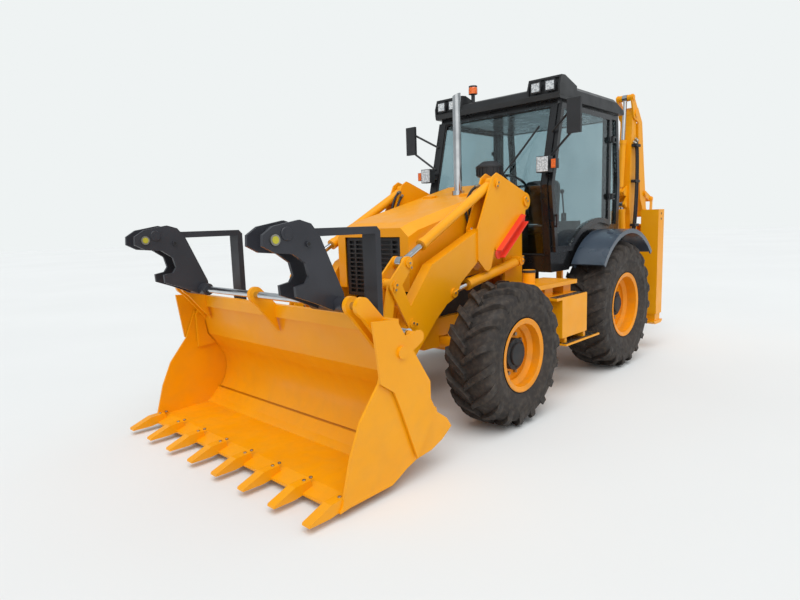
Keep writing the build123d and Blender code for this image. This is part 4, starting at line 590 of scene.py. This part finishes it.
def pin_keeper(plates, heads, face, sign, angle):
    """One flag plate with its bolts on a pin's face."""
    turn = Matrix.Rotation(math.radians(-angle), 3, "Y")
    outward = Vector((0, sign, 0))
    bevelled(plates, add_box(plates, *FLAG_CORNERS), 0.003, 1)
    flag = [v for v in plates.verts if v.co.length < FLAG_REACH]
    bmesh.ops.rotate(plates, cent=(0, 0, 0), matrix=turn, verts=flag)
    bmesh.ops.translate(plates, vec=face + outward * FLAG_HALF_T, verts=flag)
    for reach in FLAG_BOLTS:
        spot = face + turn @ Vector((reach, 0, 0)) + outward * 2 * FLAG_HALF_T
        add_rod(heads, spot, spot + outward * BOLT_HEAD, BOLT_R, sides=6)


for carrier in sorted({pin[0] for pin in PINS}):
    plates = bmesh.new()
    heads = bmesh.new()
    for _, x, z, y, angle in (pin for pin in PINS if pin[0] == carrier):
        for _, sign in SIDES:
            pin_keeper(plates, heads, at(x, sign * y, z), sign, angle)
    settle(f"pin_flags_{carrier}", plates, machine_enamel, carrier, smooth=20)
    settle(f"pin_bolts_{carrier}", heads, zinc_plate, carrier, smooth=20)

# %% [markdown]
# A web plate closes the corner between the arm's rear lobe and its front leg, behind the safety strut. A
# flat plate is one face, extruded by the plate's thickness.

# %% Web plates of the arm
WEB = ((1335, 1561), (1668, 1641), (1742, 1362), (1732, 1330), (1690, 1297))       # x, z of the corners
WEB_Y, WEB_T = 576, 0.0135
bm = bmesh.new()
for _, sign in SIDES:
    near = bm.faces.new([bm.verts.new(at(x, sign * WEB_Y, z)) for x, z in WEB])
    grown = bmesh.ops.extrude_face_region(bm, geom=[near])["geom"]
    far = [item for item in grown if isinstance(item, bmesh.types.BMVert)]
    bmesh.ops.translate(bm, vec=Vector((0, sign * WEB_T, 0)), verts=far)
settle("arm_web_plates", bm, machine_enamel, "loader_arm", smooth=0)

# %% [markdown]
# ## The bucket's edges
# A round steel bar is welded along the lower edge of each side of the front jaw, the seam between the jaws
# is closed from behind by a lap strip, and the rail on which the forks turn is hard-chromed. Hexagon bolts
# hold the teeth.

# %% Bucket trim
EDGE = ((4050, 62), (3668, 66), (3600, 97), (3540, 127), (3450, 155), (3316, 170))      # x, z along the edge
EDGE_Y, EDGE_R = 1150, 0.0095
bm = bmesh.new()
for _, sign in SIDES:
    knees = [at(x, sign * EDGE_Y, z) for x, z in EDGE]
    chain(bm, knees, EDGE_R)
    ball(bm, knees[-1], EDGE_R)
settle("clam_edge_bars", bm, machine_enamel, "clam", smooth=50)

RAIL_HALF, RAIL_SLEEVE_R = 1089, 0.02418
bm = bmesh.new()
add_rod(bm, at(3780, -RAIL_HALF, 1130), at(3780, RAIL_HALF, 1130), RAIL_SLEEVE_R, sides=40)
rail = settle("fork_rail_chrome", bm, hard_chrome, "bucket")

STRIP_HALF, STRIP_LEAN = Vector((0.0015, 1.134, 0.030)), -28
bm = bmesh.new()
add_box(bm, -STRIP_HALF, STRIP_HALF)
bmesh.ops.rotate(bm, cent=(0, 0, 0), matrix=Matrix.Rotation(math.radians(STRIP_LEAN), 3, "Y"),
                 verts=bm.verts)
bmesh.ops.translate(bm, vec=at(3458, 0, 200), verts=bm.verts)
settle("jaw_lap_strip", bm, machine_enamel, "bucket", smooth=0)

TEETH = 8
TOOTH_Y = 1113              # middle of the outermost tooth
TOOTH_BOLT_X = (3985, 4035)
EDGE_TOP_Z, EDGE_SLOPE = 112, 0.02
bm = bmesh.new()
for number in range(TEETH):
    y = -TOOTH_Y + number * 2 * TOOTH_Y / (TEETH - 1)
    for x in TOOTH_BOLT_X:
        bolt = at(x, y, EDGE_TOP_Z + (TOOTH_BOLT_X[-1] - x) * EDGE_SLOPE)
        bevelled(bm, add_rod(bm, bolt, bolt + Vector((0, 0, 0.010)), 0.012, sides=6), 0.0015, 1)
settle("tooth_bolts", bm, zinc_plate, "clam", smooth=20)

# %% [markdown]
# ## Lamps, beacon and mirrors
# Lenses are thin bevelled plates in front of the lamp boxes; the beacon is an amber dome, spun from its
# section; each mirror has its glass on the rear face.

# %% Lenses and mirror glass
POD_LAMP_Y = (500, 650)
PLATES = (      # name, finish, bevel and the two corners in mm of each plate on the left; y is mirrored
    ("lamp_lenses", lamp_face, [(0.0012, (912, y - 42, 2776), (915, y + 42, 2854)) for y in POD_LAMP_Y]
     + [(0.0015, (1140, 645, 2011), (1144, 760, 2144))]),
    ("lamp_bezels", black_plastic, [(0.001, (908, y - 54, 2762), (912, y + 54, 2868)) for y in POD_LAMP_Y]),
    ("indicator_lenses", amber_lens, [(0.001, (1120, 782, 2038), (1123.5, 826, 2117))]),
    ("mirror_glass", hard_chrome, [(0.001, (1039, 914, 2339), (1042, 1026, 2621))]),
)


def mirrored_plates(name, finish, plates):
    """Thin bevelled plates on both sides of the machine, as one piece."""
    bm = bmesh.new()
    for _, sign in SIDES:
        for bevel, (x0, y0, z0), (x1, y1, z1) in plates:
            bevelled(bm, add_box(bm, at(x0, sign * y0, z0), at(x1, sign * y1, z1)), bevel, 1)
    settle(name, bm, finish, "machine")


for row in PLATES:
    mirrored_plates(*row)

DOME = ((0.0472, 2.924), (0.0472, 2.975), (0.045, 2.990), (0.036, 3.001), (0.018, 3.0065), (0.0, 3.0072))
bm = bmesh.new()
spun(bm, DOME, 32)
bmesh.ops.translate(bm, vec=at(740, -350, 0), verts=bm.verts)
settle("beacon_dome", bm, amber_lens, "machine", smooth=60)

# %% [markdown]
# ## Windscreen seal and wiper
# The windscreen is two flat faces that meet at a knee, with a rubber bead round both: rods from corner to
# corner, with a ball at each. The wiper has one tapered arm and one blade.

# %% Windscreen seal and wiper
KNEE_X, KNEE_Z = 1046, 1900                 # where the screen's two faces meet
LOWER_SLOPE, UPPER_SLOPE = 86 / 830, 204 / 790


def screen(y, z, ahead=0.0):
    """A place on the windscreen's outer face, or some way ahead of it, in mm."""
    slope = LOWER_SLOPE if z < KNEE_Z else -UPPER_SLOPE
    return at(KNEE_X + (z - KNEE_Z) * slope + ahead, y, z)


SEAL_Y, SEAL_HEIGHTS = 632, (1240, KNEE_Z, 2625)
SEAL_SET, SEAL_R = -14, 0.009               # how far the bead lies behind the outer face in mm, its radius
corners = [screen(-SEAL_Y, z, SEAL_SET) for z in SEAL_HEIGHTS]
corners += [screen(SEAL_Y, z, SEAL_SET) for z in reversed(SEAL_HEIGHTS)]
bm = bmesh.new()
chain(bm, corners + corners[:1], SEAL_R)
settle("windscreen_seal", bm, seal_rubber, "machine", smooth=50)

pivot = screen(160, 1975, 8)
bm = bmesh.new()
add_rod(bm, pivot, screen(405, 2280, 14), 0.009, sides=10, far_radius=0.006)
add_rod(bm, screen(300, 2140, 8), screen(542, 2460, 8), 0.010, sides=8)
add_rod(bm, pivot + Vector((-0.020, 0, 0)), pivot + Vector((0.014, 0, 0)), 0.022, sides=16)
settle("wiper", bm, black_plastic, "machine")

# %% [markdown]
# ## Pre-cleaner and fork bosses
# The air pre-cleaner is black plastic with fins round its bowl. Each fork carrier has a thrust boss, a
# greasing plug in a steel ring and a lock hole near its head, on both faces. Each lock hole is drawn as a
# thin dark disc of painted shade.

# %% Pre-cleaner
BOWL = ((0.0465, 1.973), (0.1135, 1.989), (0.1195, 2.039), (0.1195, 2.0705), (0.1295, 2.0708),
        (0.1295, 2.085), (0.061, 2.1295), (0.0, 2.1335))
FINS = 20
FIN_CORNERS = (Vector((0.105, -0.004, 2.000)), Vector((0.1265, 0.004, 2.066)))
bm = bmesh.new()
spun(bm, BOWL, 40)
for number in range(FINS):
    fin = add_box(bm, *FIN_CORNERS)
    turn = Matrix.Rotation(number * math.tau / FINS, 3, "Z")
    bmesh.ops.rotate(bm, cent=(0, 0, 0), matrix=turn, verts=fin)
bmesh.ops.translate(bm, vec=at(1350, 270, 0), verts=bm.verts)
settle("precleaner_bowl", bm, black_plastic, "machine")

# %% Fork bosses
plug_plastic = moulded("plug_plastic", "#b9b32c", "#aaa326")
FORK_Y = 800
BOSSES = (      # name, finish, x, z, radius, near and far end from the carrier's middle in mm
    ("bosses", fork_enamel, 4120, 1550, 0.038, 84, 92),
    ("rings", zinc_plate, 4198, 1520, 0.030, 84, 94),
    ("plugs", plug_plastic, 4198, 1520, 0.020, 93, 96),
    # A thin dark disc paints the shade inside each lock hole.
    ("hole_shadows", seal_rubber, 3985, 1490, 0.0105, 96, 97.4),
)
for side, sign in SIDES:
    for name, finish, x, z, radius, near, far in BOSSES:
        bm = bmesh.new()
        for face in (1, -1):
            start = at(x, sign * FORK_Y + face * near, z)
            end = at(x, sign * FORK_Y + face * far, z)
            made = add_rod(bm, start, end, radius, sides=28)
            if name == "bosses":
                bevelled(bm, made, 0.003, 1)
        settle(f"carrier_{name}_{side}", bm, finish, f"fork_carrier_{side}")

# %% [markdown]
# ## Seat
# The cushion and backrest are foam under cloth: crowned, with soft corners and two sewn channels. Each
# starts as a box, is subdivided, and its points are pushed out most at the middle, which keeps it closed.

# %% Padded seat
CHANNELS = (-0.45, 0.45)    # sewn channels, as shares of the half width
CHANNEL_DEPTH = 0.10        # share of the half thickness
CORNER_POWER = 6            # the higher, the squarer the corners


def pad(corner, far, thin, crown, lean=0.0):
    """A crowned cushion between two corners, thin along one axis and leaning back with its height."""
    bm = bmesh.new()
    add_box(bm, corner, far)
    bmesh.ops.subdivide_edges(bm, edges=bm.edges[:], cuts=14, use_grid_fill=True)
    middle, half = (corner + far) / 2, (far - corner) / 2
    long_way = 2 - thin
    for v in bm.verts:
        q = Vector(((v.co - middle)[i] / abs(half[i]) for i in range(3)))
        square = max(abs(share) for share in q)
        rounded = sum(abs(share) ** CORNER_POWER for share in q) ** (1 / CORNER_POWER)
        q = q / max(rounded, 1e-6) * square
        crowned = 1 - crown * (1 - (1 - q[long_way] ** 2) * (1 - q.y ** 2))
        groove = max(math.exp(-((q.y - channel) * 14) ** 2) for channel in CHANNELS)
        q[thin] *= crowned - CHANNEL_DEPTH * groove
        v.co = middle + Vector((q[i] * abs(half[i]) for i in range(3)))
        v.co.x += lean * (v.co.z - corner.z)
    return bm


PADS = (      # name, two corners, its thin axis (0 is x, 2 is z), crown, lean
    ("seat_pad", at(-88, -238, 1411), at(368, 238, 1519), 2, 0.16, 0.0),
    ("seat_back", at(-92, -222, 1522), at(-15, 222, 2018), 0, 0.18, -0.10),
)
for name, corner, far, thin, crown, lean in PADS:
    cushion = settle(name, pad(corner, far, thin, crown, lean), seat_cloth, "machine", smooth=60,
                     replaces=("seat_cushions",))

# %% [markdown]
# ## Hoses
# Hydraulic hoses are thick rubber over steel braid. Each leaves a fitting straight, then sags in one easy
# bend to the next fitting. A hose is one smooth curve with a round bevel, and its length is measured and
# printed.

# %% Hydraulic hoses
ARM_HOSE, BOOM_HOSE = 0.022, 0.026          # diameters
FERRULE = (-0.004, 0.045, 0.68, 16)         # both ends along the hose, radius over its diameter, sides
END_NUT = (0.004, 0.020, 0.85, 6)


def curve_length(piece):
    """Length of a bare curve, measured along its line."""
    bpy.context.view_layer.update()
    line = bpy.data.meshes.new_from_object(piece)
    ends = [[line.vertices[index].co for index in edge.vertices] for edge in line.edges]
    length = sum((start - end).length for start, end in ends)
    bpy.data.meshes.remove(line)
    return length


def hose(name, body_name, points, diameter):
    """A rubber hose through the points, and its steel ends; its length is printed."""
    line = bpy.data.curves.new(name, "CURVE")
    line.dimensions = "3D"
    spline = line.splines.new("NURBS")
    spline.points.add(len(points) - 1)
    for point, spot in zip(spline.points, points):
        point.co = (*spot, 1)
    spline.order_u = 3
    spline.use_endpoint_u = True
    spline.resolution_u = 8
    piece = bpy.data.objects.new(name, line)
    bpy.context.scene.collection.objects.link(piece)
    length = curve_length(piece)
    line.bevel_depth = diameter / 2
    line.bevel_resolution = 4
    line.use_fill_caps = True
    line.materials.append(hose_rubber)
    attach(piece, body_name)
    bm = bmesh.new()
    for end, inward in ((points[0], points[1]), (points[-1], points[-2])):
        along = (inward - end).normalized()
        for near, far, share, sides in (FERRULE, END_NUT):
            add_rod(bm, end + along * near, end + along * far, diameter * share, sides=sides)
    ends = settle(f"{name}_ends", bm, zinc_plate, body_name)
    print(name, round(length, 3), "m")


ARM_HOSES = (      # name, points from the rear axle in mm on the left; y is mirrored
    ("arm_hose_upper", ((1800, 470, 1880), (1860, 452, 1872), (1945, 438, 1760), (1960, 442, 1640),
                        (1930, 456, 1545), (1930, 478, 1500))),
    ("arm_hose_lower", ((1770, 470, 1850), (1820, 446, 1825), (1890, 430, 1730), (1895, 436, 1620),
                        (1870, 456, 1520), (1872, 478, 1480))),
)
for name, places in ARM_HOSES:
    for side, sign in SIDES:
        hose(f"{name}_{side}", "loader_arm", [at(x, sign * y, z) for x, y, z in places], ARM_HOSE)
BOOM_HOSES = (
    ("boom_hose_outer", ((-1440, 500, 1350), (-1440, 530, 1370), (-1450, 545, 1600), (-1470, 548, 1950),
                         (-1475, 545, 2300), (-1480, 530, 2480), (-1480, 500, 2500))),
    ("boom_hose_inner", ((-1500, 500, 1330), (-1500, 528, 1350), (-1520, 540, 1600), (-1535, 543, 1950),
                         (-1535, 540, 2320), (-1535, 526, 2520), (-1535, 500, 2540))),
)
for name, places in BOOM_HOSES:
    hose(name, "boom", [at(*place) for place in places], BOOM_HOSE)

# %% [markdown]
# ## Small fittings
# Steps have a pressed tread that shoes can grip, the tanks have black caps, the bonnet carries a blank oval
# badge plate, and clamps hold the hoses to the boom.

# %% Tread plate
STUD_MM = 28
tread_plate, tree, body, place = shader("tread_plate", Metallic=1.0)
studs = node(tree, "ShaderNodeTexVoronoi", {"Vector": place, "Scale": 1000 / STUD_MM}, distance="CHEBYCHEV")
raised = node(tree, "ShaderNodeMapRange", {"Value": studs.outputs["Distance"], "From Min": 0.25,
                                          "From Max": 0.35, "To Min": 1.0, "To Max": 0.0}).outputs[0]
# The raised studs are painted lighter and the ground between them darker: painted light on the studs and
# painted shade between them.
tree.links.new(blend_colours(tree, raised, "#4a4844", "#8d8a84"), body.inputs["Base Color"])
rough(tree, body, mottle(tree, place, 40), 0.4, 0.7)
bumps(tree, body, raised, 2.0, 0.8)

# %% Treads, caps and clamps
TREADS = (((735, 815, 486), (1365, 1070, 489)), ((945, 960, 900), (1480, 1040, 903)))
bm = bmesh.new()
for _, sign in SIDES:
    for (x0, y0, z0), (x1, y1, z1) in TREADS:
        bevelled(bm, add_box(bm, at(x0, sign * y0, z0), at(x1, sign * y1, z1)), 0.001, 1)
settle("step_treads", bm, tread_plate, "machine", smooth=20)

bm = bmesh.new()
for _, sign in SIDES:
    cap = add_rod(bm, at(1435, sign * 740, 1112), at(1435, sign * 740, 1135), 0.062, sides=24)
    bevelled(bm, cap, 0.004)
settle("filler_caps", bm, black_plastic, "machine")

BADGE = Vector((0.005, 0.150, 0.044))       # thickness, width and height
bm = bmesh.new()
badge = bmesh.ops.create_cone(bm, cap_ends=True, segments=40, radius1=0.5, radius2=0.47, depth=1)["verts"]
bmesh.ops.rotate(bm, cent=(0, 0, 0), matrix=Matrix.Rotation(math.radians(90), 3, "Y"), verts=badge)
bmesh.ops.scale(bm, vec=BADGE, verts=badge)
bmesh.ops.translate(bm, vec=at(2664, 0, 1513), verts=badge)
settle("badge_plate", bm, black_plastic, "bonnet")

CLAMP_HEIGHTS, CLAMP_H = (1450, 2000, 2440), 34
bm = bmesh.new()
for z in CLAMP_HEIGHTS:
    bevelled(bm, add_box(bm, at(-1560, 496, z), at(-1425, 562, z + CLAMP_H)), 0.004, 1)
settle("hose_clamps", bm, iron_enamel, "boom")

# Thin dark discs paint the shade inside the two holes of each stabiliser leg.
HOLE_HEIGHTS = (1540, 1600)
bm = bmesh.new()
for _, sign in SIDES:
    for z in HOLE_HEIGHTS:
        add_rod(bm, at(-1080, sign * 999, z), at(-1080, sign * 1000.6, z), 0.013, sides=24)
settle("stabiliser_hole_shadows", bm, seal_rubber, "machine")
